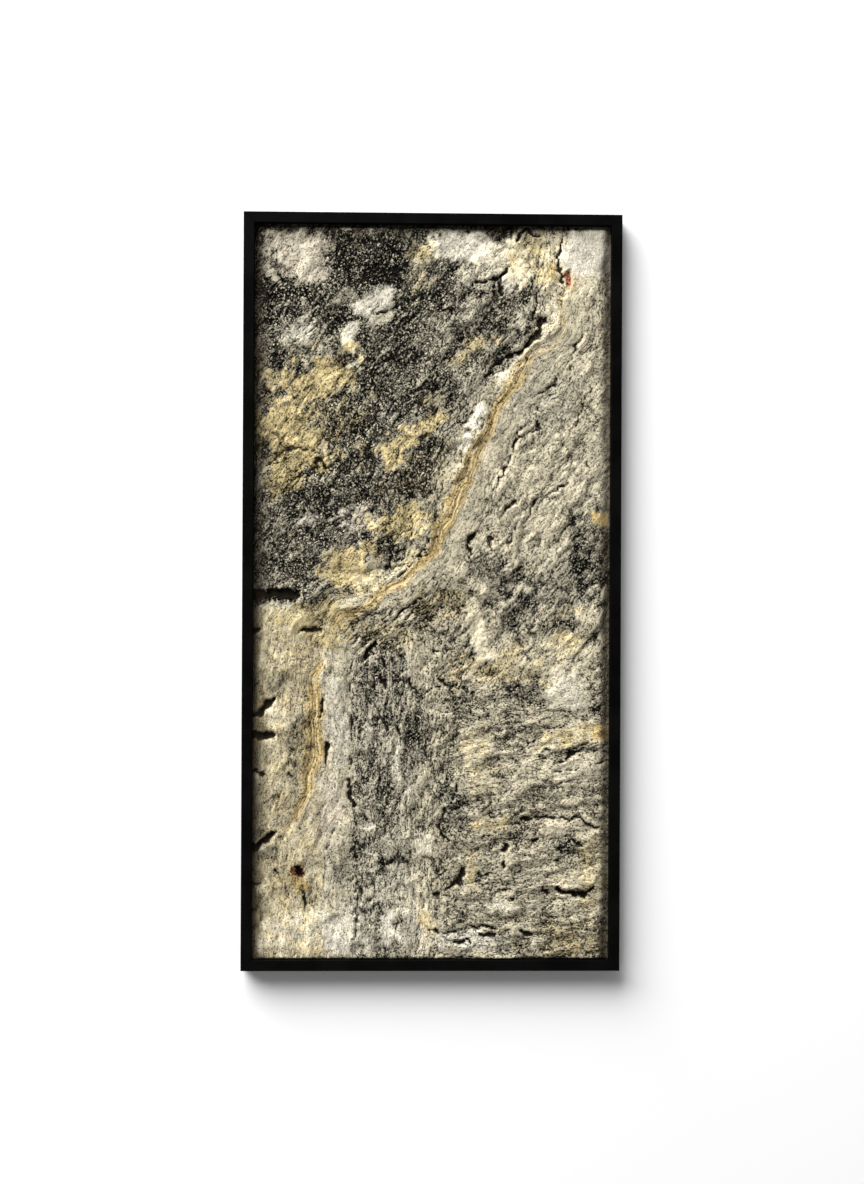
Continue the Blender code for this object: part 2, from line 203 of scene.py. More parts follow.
def besideLine(u, v, line):
    # Distance to the nearest segment, signed by the cross product, and the length run to there.
    nearest = np.full(u.shape, 1e9)
    side, run, length = np.zeros(u.shape), np.zeros(u.shape), 0.0
    for (u0, v0), (u1, v1) in zip(line, line[1:]):
        du, dv = u1 - u0, v1 - v0
        step = math.hypot(du, dv)
        share = np.clip(((u - u0) * du + (v - v0) * dv) / step**2, 0, 1)
        distance = np.hypot(u - u0 - share * du, v - v0 - share * dv)
        closer = distance < nearest
        side = np.where(closer, np.sign(du * (v - v0) - dv * (u - u0)), side)
        run = np.where(closer, length + share * step, run)
        nearest = np.minimum(nearest, distance)
        length += step
    return nearest * side, run


def oval(u, v, centreU, centreV, halfU, halfV, turn, soft=(0.5, 1.25), fray=0):
    # 1 minus the ease of the distance from the centre, in half sizes of a turned, squarish oval.
    power = 3.2
    along, across = turned(u - centreU, v - centreV, turn)
    away = (np.abs(along / halfU) ** power + np.abs(across / halfV) ** power) ** (1 / power)
    return 1 - ease(*soft, away + fray)


# The rock's sizes: the slab's own in metres, and the rest on a field 100 wide and 206 high that is
# laid over the frame's opening, with heights as shares of the room for the relief
reliefLook = {
    "faceWidth": 0.017, "lap": 0.0045, "rimDepth": 0.0163, "slabEdge": 0.008, "room": 0.013,
    "step": 0.00268,
    "fieldWidth": 100.0, "fieldHeight": 206.0,
    "rimRoll": 2.6, "footRoll": 12.0, "headRoll": 1.4, "meanHeight": 0.56, "lowest": -0.12,
    "broadForms": (30.0, 0.15), "largeFaces": (12.0, 0.23), "smallFaces": (5.0, 0.12),
    "bedWidth": 4.5, "bedLength": 22.0, "bedRise": 0.15, "wanderSize": 9.0,
    "crackWander": 0.7, "crackNotch": 2.2, "crackRag": (2.2, 0.7), "wholeDepth": 0.64,
    "diagonalBeds": 52, "levelBeds": 10, "uprightBeds": 84,
    # where the zones of level and upright beds begin and end, and how far the vein turns the beds
    "levelFrom": (45, 65), "levelTop": (60, 90), "uprightTo": (45, 60), "uprightTop": (85, 105),
    "veinReach": (8, 18), "veinEnd": (16, 5), "topFrom": (96.5, 101.5), "charcoalTo": (-10, -3),
    "vein": [
        (91, 208), (88, 190), (85, 177), (77, 168), (69, 156.5), (61, 140), (55, 125),
        (50, 115), (42, 106), (33, 100), (25, 96), (20, 90), (17.5, 78), (17.5, 64), (16, 50),
        (11, 38), (5, 26),
    ],
    "veinGroove": 1.4, "veinDepth": 0.06,
    "bandWidth": 6.5, "bandEdge": 3.0, "bandRise": 0.10, "bandSmoothing": 0.7,
    # rise of the small breaks on light rock and on charcoal, and their size along and across the beds
    "plates": (0.15, 0.09), "ridges": (0.14, 0.1), "small": (0.07, 0.09), "lumps": (0.07, 0.11),
    "plateSize": (7.5, 2.8), "ridgeSize": (6.0, 2.2), "longCrease": (15, 4.6), "shortCrease": (5, 1.9),
    "creaseWidth": (0.13, 0.26), "creaseDepth": 0.11, "smallSize": 2.6, "lumpSize": 2.4,
    "breakTurns": (56, 8, 86),
    "columnLeft": 27.6, "columnRight": 46.0, "columnTop": 92.0, "columnRise": 0.11,
}
# Rounded forms: centre, half sizes, turn and rise
reliefLook["swells"] = {
    "white facet": (34, 184.5, 7, 3.2, 38, 0.12),
    "round boss": (26, 185.5, 3.2, 3, 0, 0.12),
    "cream shoulder": (92, 198, 8, 7, 0, 0.1),
    "vein shoulder": (59, 150, 9, 4, 55, 0.1),
    "shelf": (7, 95.5, 11, 4, -6, 0.16),
    "left belly": (9, 84, 8, 9, 20, 0.1),
    "left block": (8, 68.5, 8, 4.5, 20, 0.14),
    "vein cushion": (23, 68, 4.5, 14, 4, 0.1),
    "pale strip": (63.5, 91, 3, 8.5, 10, 0.14),
    "pale cushion": (89, 76, 7, 7, 0, 0.12),
    "layered block": (84, 50, 15, 4.5, 8, 0.12),
    "right boss": (90.5, 22.5, 8, 3.8, 12, 0.24),
    "low boss": (70.5, 15.5, 4, 2.2, -8, 0.12),
    "low left belly": (17, 8, 13, 6, 0, 0.12),
    "dark hollow": (28, 194, 11, 6, 0, -0.16),
    "left hollow": (6, 108, 10, 3.5, 0, -0.12),
}
# Deep cracks: half width, depth, and the line each follows
reliefLook["cracks"] = {
    "overhang": (1.7, 0.8, [(-4, 102.3), (5, 102), (10, 101.6), (12.5, 102.4)]),
    "star": (0.7, 0.55, [(62.5, 190), (69, 191.5), (72.3, 194.5)]),
    "star foot": (0.7, 0.45, [(69, 191.5), (69, 187)]),
    "top slot": (0.8, 0.45, [(73, 202), (76, 205), (79, 203)]),
    "main slot": (1.6, 0.6, [(80.8, 180), (79, 175.5), (75.5, 171.5)]),
    "slot tail": (0.7, 0.5, [(76, 172), (70, 168), (66, 165)]),
    "facet slit": (0.6, 0.45, [(31.5, 179), (37, 182.5)]),
    "ochre step": (0.6, 0.25, [(3, 141), (10, 143), (20, 142), (17, 138), (14, 137)]),
    "right split": (0.6, 0.42, [(68.5, 132.5), (70, 136), (73, 145), (80, 150.5)]),
    "lower split": (0.7, 0.42, [(69, 124), (71.5, 127.5), (74.5, 130)]),
    "corner crack": (0.7, 0.5, [(60.5, 111), (60.3, 117.5), (63, 120)]),
    "left gash": (1.3, 0.75, [(-3, 67.5), (2, 69), (6, 73.5)]),
    "left notch": (1.6, 0.7, [(-3, 62.5), (3.5, 63), (6, 62)]),
    "left foot": (1.5, 0.7, [(-3, 30), (2.5, 32), (5.5, 36)]),
    "left bite": (1.8, 0.6, [(-3, 92), (1.5, 92.5)]),
    "shelf slot": (0.9, 0.55, [(13.5, 91.3), (16, 91.8), (18.5, 92.6)]),
    "vein slot": (0.8, 0.55, [(20.3, 74), (18.8, 68)]),
    "vein hole": (0.9, 0.65, [(20.4, 61), (20.2, 55)]),
    "column edge": (1.3, 0.5, [(26.6, 50), (27.4, 46.5), (28.4, 43)]),
    "column hole": (1, 0.6, [(31.5, 84.5), (32.5, 87), (35, 89.5)]),
    "layer slot": (0.6, 0.45, [(81, 57), (87, 55.5), (90, 57.8), (93, 59)]),
    "boss shadow": (0.9, 0.7, [(85, 20), (88, 18.4), (92, 18.3), (95.5, 20)]),
    "amber hole": (1.5, 0.65, [(13.5, 25.5), (14.3, 24)]),
    "amber foot": (0.8, 0.45, [(11, 20.5), (14, 18.5), (14.7, 15.5)]),
    "low slot": (0.8, 0.5, [(63.5, 6.6), (68, 7)]),
    "low hole": (1.5, 0.6, [(76, 7.4), (78, 6.6)]),
    "low pits": (1.3, 0.45, [(51, 18), (57.5, 21.5), (59.5, 25.5)]),
}
# Finer crevices, worked the same way
reliefLook["crevices"] = {
    "column side": (0.5, 0.3, [(27.6, 84), (27.8, 68), (27.3, 52)]),
    "column foot": (0.5, 0.3, [(28.4, 36), (29.5, 22), (29, 6)]),
    "upper slot": (0.8, 0.4, [(78.2, 180), (79.5, 184), (79, 187)]),
    "spur": (0.9, 0.5, [(86, 202), (85.4, 196), (86.6, 190)]),
    "small drop": (0.6, 0.35, [(94.8, 171), (96.3, 172.8)]),
    "branch": (0.5, 0.3, [(88, 162), (89.2, 169), (92, 177)]),
    "right streak": (0.5, 0.3, [(85.5, 165), (83, 160), (76, 157.5)]),
    "far streak": (0.5, 0.3, [(95, 161), (92, 156.5), (91, 150)]),
    "ladder": (0.6, 0.32, [(79.5, 155), (79.2, 151.5), (80.3, 149)]),
    "beside band": (0.6, 0.35, [(75, 150), (73.5, 146), (72.5, 141.5)]),
    "thin fall": (0.5, 0.3, [(87, 147), (86.4, 144)]),
    "hook": (0.5, 0.3, [(92, 147.5), (93, 144)]),
    "bead": (0.5, 0.35, [(81, 142), (81.8, 140)]),
    "rib": (0.5, 0.3, [(93, 140), (95, 136.5)]),
    "notch": (0.5, 0.3, [(83, 131), (88, 134.5)]),
    "chain": (0.7, 0.4, [(76, 122.5), (78, 127), (81.5, 131)]),
    "two ribs": (0.6, 0.35, [(71, 116.5), (73, 119), (74.5, 122.5)]),
    "under chain": (0.5, 0.35, [(65, 110), (66.4, 113.5), (66, 122)]),
    "dark bed": (0.7, 0.3, [(69, 104), (71, 107.5), (75, 110.5)]),
    "beads": (0.6, 0.4, [(50.5, 159), (51.5, 161)]),
    "short slot": (0.6, 0.35, [(50, 152), (51.5, 154.5)]),
    "ochre slot": (0.7, 0.35, [(8, 145), (9.5, 148.5)]),
    "low ochre": (0.7, 0.35, [(17, 140.5), (20.5, 138), (24, 139.5)]),
    "vein side": (0.5, 0.35, [(51, 124), (47.5, 115), (42, 109), (36, 103.5)]),
    "second side": (0.45, 0.3, [(53, 131), (52, 137), (54.5, 144)]),
    "shelf step": (0.7, 0.35, [(37.5, 91), (40, 96), (46, 101), (50, 103)]),
    "fracture": (0.5, 0.4, [(48, 75.3), (55, 76.2), (59.5, 76.2), (62, 74)]),
    "upper fracture": (0.7, 0.4, [(50.5, 86.6), (54, 87), (58, 86)]),
    "side fracture": (0.5, 0.35, [(50, 79.5), (54, 77.5), (57, 71)]),
    "column chink": (0.8, 0.4, [(43, 79), (44.5, 76.5), (46.5, 74.5)]),
    "column pit": (0.9, 0.4, [(35.5, 79.5), (37.5, 75.5)]),
    "bare pit": (0.6, 0.4, [(40.8, 65.5), (41.2, 63)]),
    "square pit": (0.9, 0.45, [(10.2, 51.8), (11, 50.4)]),
    "side pit": (1.1, 0.45, [(-1, 53), (3.5, 52)]),
    "crescent": (0.6, 0.4, [(21, 31.5), (21.8, 34.5), (24.5, 36.3)]),
    "sand pit": (0.6, 0.35, [(12.3, 37), (13.4, 35.6)]),
    "small foot": (0.8, 0.4, [(6.3, 25), (8.2, 23.2)]),
    "left sill": (0.8, 0.4, [(-1, 21.5), (4.5, 21.5)]),
    "column crack": (0.6, 0.35, [(38, 24.5), (40.5, 23)]),
    "middle chink": (0.8, 0.4, [(44, 43.5), (46, 40.5)]),
    "dark run": (0.9, 0.4, [(57, 50), (56, 46), (54, 40), (52, 36.5), (55, 33.5)]),
    "round pit": (1.3, 0.5, [(70.2, 27.6), (70.6, 26)]),
    "upper pit": (1.3, 0.5, [(70.8, 31.8), (71.4, 30.2)]),
    "cross": (0.8, 0.4, [(63, 24.5), (65.5, 23.8), (67.5, 24.5)]),
    "ledge": (0.8, 0.4, [(75, 38.8), (79, 40), (85, 39.6), (92, 39), (99, 35.5)]),
    "drop side": (0.6, 0.35, [(80.5, 36.5), (79.5, 32.5)]),
    "dark wedge": (0.9, 0.4, [(86.5, 31), (90, 33.5), (93, 31)]),
    "layer line": (0.45, 0.35, [(80, 58.8), (88, 59), (96, 61.5)]),
    "layer line 2": (0.45, 0.35, [(84, 52.5), (92, 53.6), (99, 55.5)]),
    "layer line 3": (0.4, 0.3, [(83, 49.5), (90, 50.4), (98, 51)]),
    "far pits": (0.7, 0.35, [(81, 20), (83.2, 18.4)]),
    "low ribs": (0.6, 0.35, [(71, 18), (73.5, 16.6)]),
    "crumb slot": (0.6, 0.4, [(49.5, 8.3), (53, 6.8), (58, 7.3)]),
    "crumb gap": (0.8, 0.45, [(54.5, 5.2), (57.5, 4), (60, 5), (62.5, 3.6)]),
    "upper gap": (0.8, 0.45, [(60.5, 9.4), (63, 8.8), (66, 9.6), (69, 8.6)]),
    "corner slot": (0.8, 0.35, [(93.5, 8.4), (96, 7.6)]),
}


def bedding(u, v, beside, run):
    # Noise stretched along three bed directions and along the vein, mixed by zone.
    look = reliefLook

    def beds(degrees, seed):
        along, across = turned(u, v, degrees)
        return roughNoise(along / look["bedLength"], across / look["bedWidth"], seed, 2)

    found = beds(look["diagonalBeds"], 31)
    level = ease(*look["levelFrom"], u) * (1 - ease(*look["levelTop"], v))
    found += level * (beds(look["levelBeds"], 41) - found)
    upright = (1 - ease(*look["uprightTo"], u)) * (1 - ease(*look["uprightTop"], v))
    found += upright * (beds(look["uprightBeds"], 45) - found)
    far, near = look["veinEnd"]
    nearVein = 1 - ease(*look["veinReach"], np.abs(beside))
    nearVein *= 1 - ease(run.max() - far, run.max() - near, run)
    veinBeds = roughNoise(run / look["bedLength"], beside / look["bedWidth"], 35, 2)
    return found + nearVein * (veinBeds - found), level, upright, nearVein


def crackShare(u, v, halfWidth, line, broken):
    # 1 minus the ease of the distance from a line over its width, which thins at the ends and breaks up.
    away, run = besideLine(u, v, line)
    length = sum(math.dist(start, end) for start, end in zip(line, line[1:]))
    taper = ease(-0.3, 0.3, run / length) * ease(-0.3, 0.3, 1 - run / length)
    notch = reliefLook["crackNotch"]
    notches = 1 + 0.6 * noise(u / notch, v / notch, 81)
    notches -= broken * (0.5 + 2.0 * noise(u / (2 * notch), v / (2 * notch), 83))
    width = halfWidth * (0.2 + 0.8 * taper) * np.clip(notches, 0.05, 1.7)
    return (1 - ease(0.25, 1.3, np.abs(away) / width)) * ease(0.1, 0.5, notches)


def rockField(u, v):
    # The height: broad forms + beds + faces + band + column + swells - vein groove - cracks.
    look = reliefLook
    edge = np.minimum(u, look["fieldWidth"] - u)
    for distance in (look["footRoll"] * v, look["headRoll"] * (look["fieldHeight"] - v)):
        edge = np.minimum(edge, distance)
    size = look["wanderSize"]
    wanderU = roughNoise(u / size, v / size, 11, 3)
    wanderV = roughNoise(u / size, v / size, 21, 3)
    raggedU, raggedV = u + wanderU, v + wanderV
    beside, run = besideLine(raggedU, raggedV, look["vein"])
    band = ease(-0.5, 1.0, beside) * (
        1 - ease(look["bandWidth"], look["bandWidth"] + look["bandEdge"], beside)
    )
    column = (
        ease(look["columnLeft"] - 0.5, look["columnLeft"] + 0.5, raggedU)
        * (1 - ease(look["columnRight"] - 5, look["columnRight"] + 3, raggedU))
        * (1 - ease(look["columnTop"] - 8, look["columnTop"], raggedV))
    )
    beds, level, upright, nearVein = bedding(raggedU, raggedV, beside, run)
    broadSize, broadRise = look["broadForms"]
    rock = look["bedRise"] * beds
    for seed, (width, rise) in ((61, look["largeFaces"]), (71, look["smallFaces"])):
        rock += rise * facets(raggedU / width, raggedV / width, seed)
    height = look["meanHeight"] + broadRise * roughNoise(u / broadSize, v / broadSize, 51, 2)
    height += (1 - look["bandSmoothing"] * band) * rock
    height += look["bandRise"] * band + look["columnRise"] * column
    height -= look["veinDepth"] * (1 - ease(0, look["veinGroove"], np.abs(beside)))
    for *shape, rise in look["swells"].values():
        height += rise * oval(raggedU, raggedV, *shape)

    # Cracks follow the same wander, with a finer raggedness of their own
    size, rag = look["crackRag"]
    crackU = u + look["crackWander"] * wanderU + rag * roughNoise(u / size, v / size, 91, 2)
    crackV = v + look["crackWander"] * wanderV + rag * roughNoise(u / size, v / size, 93, 2)
    # The crack mask is painted shade: each crack darkened, the deeper the darker
    crevice = np.zeros(u.shape)
    for table, thin in (("cracks", 0.8), ("crevices", 0.6)):
        for halfWidth, depth, line in look[table].values():
            broken = 1.8 * max(0, look["wholeDepth"] - depth)
            share = crackShare(crackU, crackV, thin * halfWidth, line, broken)
            height -= depth * share
            crevice = np.maximum(crevice, share * min(1.0, 0.35 + depth))
    top = ease(*look["topFrom"], raggedV)
    charcoal = top * (1 - ease(*look["charcoalTo"], beside + 2 * noise(u / 4, v / 4, 97)))
    return {
        "top": top, "charcoal": charcoal, "edge": edge, "raggedU": raggedU, "raggedV": raggedV,
        "wanderU": wanderU, "beside": beside, "run": run, "band": band, "column": column,
        "level": level, "upright": upright, "nearVein": nearVein, "height": height,
        "crevice": crevice,
    }


def billows(along, across, seed, octaves=3):
    # Sum of the noises' absolute values, halved each time: round lumps with sharp creases.
    return sum(np.abs(noise(along * 2**i, across * 2**i, seed + i)) / 2**i for i in range(octaves))


def addBreaks(field, u, v):
    # Lumps, plates and thin creases along the beds, mixed in zone by zone as the beds are.
    look = reliefLook
    diagonal, level, upright = (
        turned(field["raggedU"], field["raggedV"], degrees) for degrees in look["breakTurns"]
    )
    paths = [
        (None, diagonal, 131), ("level", level, 133), ("upright", upright, 137),
        ("nearVein", (field["run"], field["beside"]), 135),
    ]
    found = {"plates": 0, "ridges": 0, "long": 0, "short": 0}
    longWidth, shortWidth = look["creaseWidth"]
    sizes = [look[name] for name in ("plateSize", "ridgeSize", "longCrease", "shortCrease")]
    for zone, (along, across), seed in paths:
        share = field[zone] if zone else 1
        plates, ridges, longs, shorts = ((along / length, across / width) for length, width in sizes)
        for name, values in {
            "plates": facets(*plates, seed + 60, 12),
            "ridges": billows(*ridges, seed) - 0.5,
            "long": 1 - ease(0, longWidth, np.abs(noise(*longs, seed + 20))),
            "short": 1 - ease(0, shortWidth, np.abs(noise(*shorts, seed + 40))),
        }.items():
            found[name] = found[name] + share * (values - found[name])
    small, lump = look["smallSize"], look["lumpSize"]
    found["small"] = facets(u / small, v / small, 141, 10)
    found["lumps"] = billows(u / lump, v / lump, 151, 2) - 0.4
    dark = field["charcoal"]
    breaks = 0
    for name in ("plates", "ridges", "small", "lumps"):
        bright, rough = look[name]
        breaks = breaks + (bright + dark * (rough - bright)) * found[name]
    often = 0.5 + 0.5 * roughNoise(u / 9, v / 9, 161, 3)
    gate = ease(0.22, 0.62, often)
    shortGate = ease(0.42, 0.85, often + 0.2 * found["small"])
    creases = np.maximum(found["long"] * gate, found["short"] * shortGate)
    field["breaks"] = breaks - look["creaseDepth"] * creases
    field["creases"], field["ridges"] = creases, found["ridges"]
    return field


def blurred(values, width):
    # Gaussian blur: each wave of the values times exp(-2 pi squared, width squared, rate squared).
    rows, columns = values.shape
    padded = np.pad(values, ((rows, rows), (columns, columns)), mode="symmetric")
    rateV = np.fft.fftfreq(3 * rows)[:, None]
    rateU = np.fft.rfftfreq(3 * columns)[None, :]
    kept = np.exp(-2 * (np.pi * width) ** 2 * (rateU**2 + rateV**2))
    smoothed = np.fft.irfft2(np.fft.rfft2(padded) * kept, s=padded.shape)
    return smoothed[rows : 2 * rows, columns : 2 * columns]


# What the paint on the rock follows: tones are display brightness, shifts are added to them.
paintLook = {
    "tones": {"cream": 0.635, "charcoal": 0.40, "left": 0.635, "column": 0.51, "lower": 0.56},
    # The hues as display colours at full brightness
    "hues": {
        "cream": (1.0, 0.95, 0.815), "grey": (1.0, 0.96, 0.84), "white": (1.0, 0.965, 0.875),
        "pink": (1.0, 0.95, 0.84), "ochre": (1.0, 0.91, 0.67), "gold": (1.0, 0.875, 0.61),
        "rust": (1.0, 0.66, 0.50),
    },
    # the vein's half width; where it is wider, and where it fades: amount, height from and to
    "veinWidth": 1.35,
    "veinWider": [(0.9, (112, 124), (140, 154)), (1, (46, 56), (74, 80)), (1.6, (154, 174), (300, 310))],
    "veinFades": [
        (1, (-20, -10), (28, 48)), (0.6, (79, 84), (92, 98)), (0.58, (152, 172), (300, 310)),
        (1, (188, 198), (300, 310)),
    ],
    # reach and strength of the painted shade along the frame's edges at the left, right, bottom and top
    "edgeShadeReach": ((7.1, 1.0), (5.0, 1.0), (0.6, 1.0), (10.5, 0.68)), "lightGain": 1.03,
    "patchEdge": (0.45, 1.2), "paintRag": (3.4, 0.7), "fray": 0.35,
    # blur width and amount of the painted shade in the hollows and painted highlight on the ridges
    "cellsPerUnit": 2.11, "cavityShading": ((0.8, 0.65), (3.0, 0.25)),
    # painted shade lowered along the creases, and their share of the cracks' painted shade
    "creaseShadeAmount": 0.17, "creaseShadeInCracks": 0.46, "grainSize": 0.0021, "crystalSize": 0.0021,
    "seamSize": 0.0065, "seamWidth": 0.034, "seamTone": 0.25,
    "clumpSize": 0.0063, "patchSize": 0.026, "threadSize": 0.0030, "threadStretch": 26.0,
    # turns of the diagonal, level and upright beds, and how much longer than wide the grain is on
    # them and along the vein
    "turns": (55, 7, 87),
    "grainStretch": (2.2, 1.9, 2.2, 3.2), "seamStretch": (2.8, 2.4, 4.0, 4.0),
    "grainSpread": 0.14, "contrast": (0.30, 0.66), "darkContrast": 1.3, "bumpDepth": 0.0022,
}
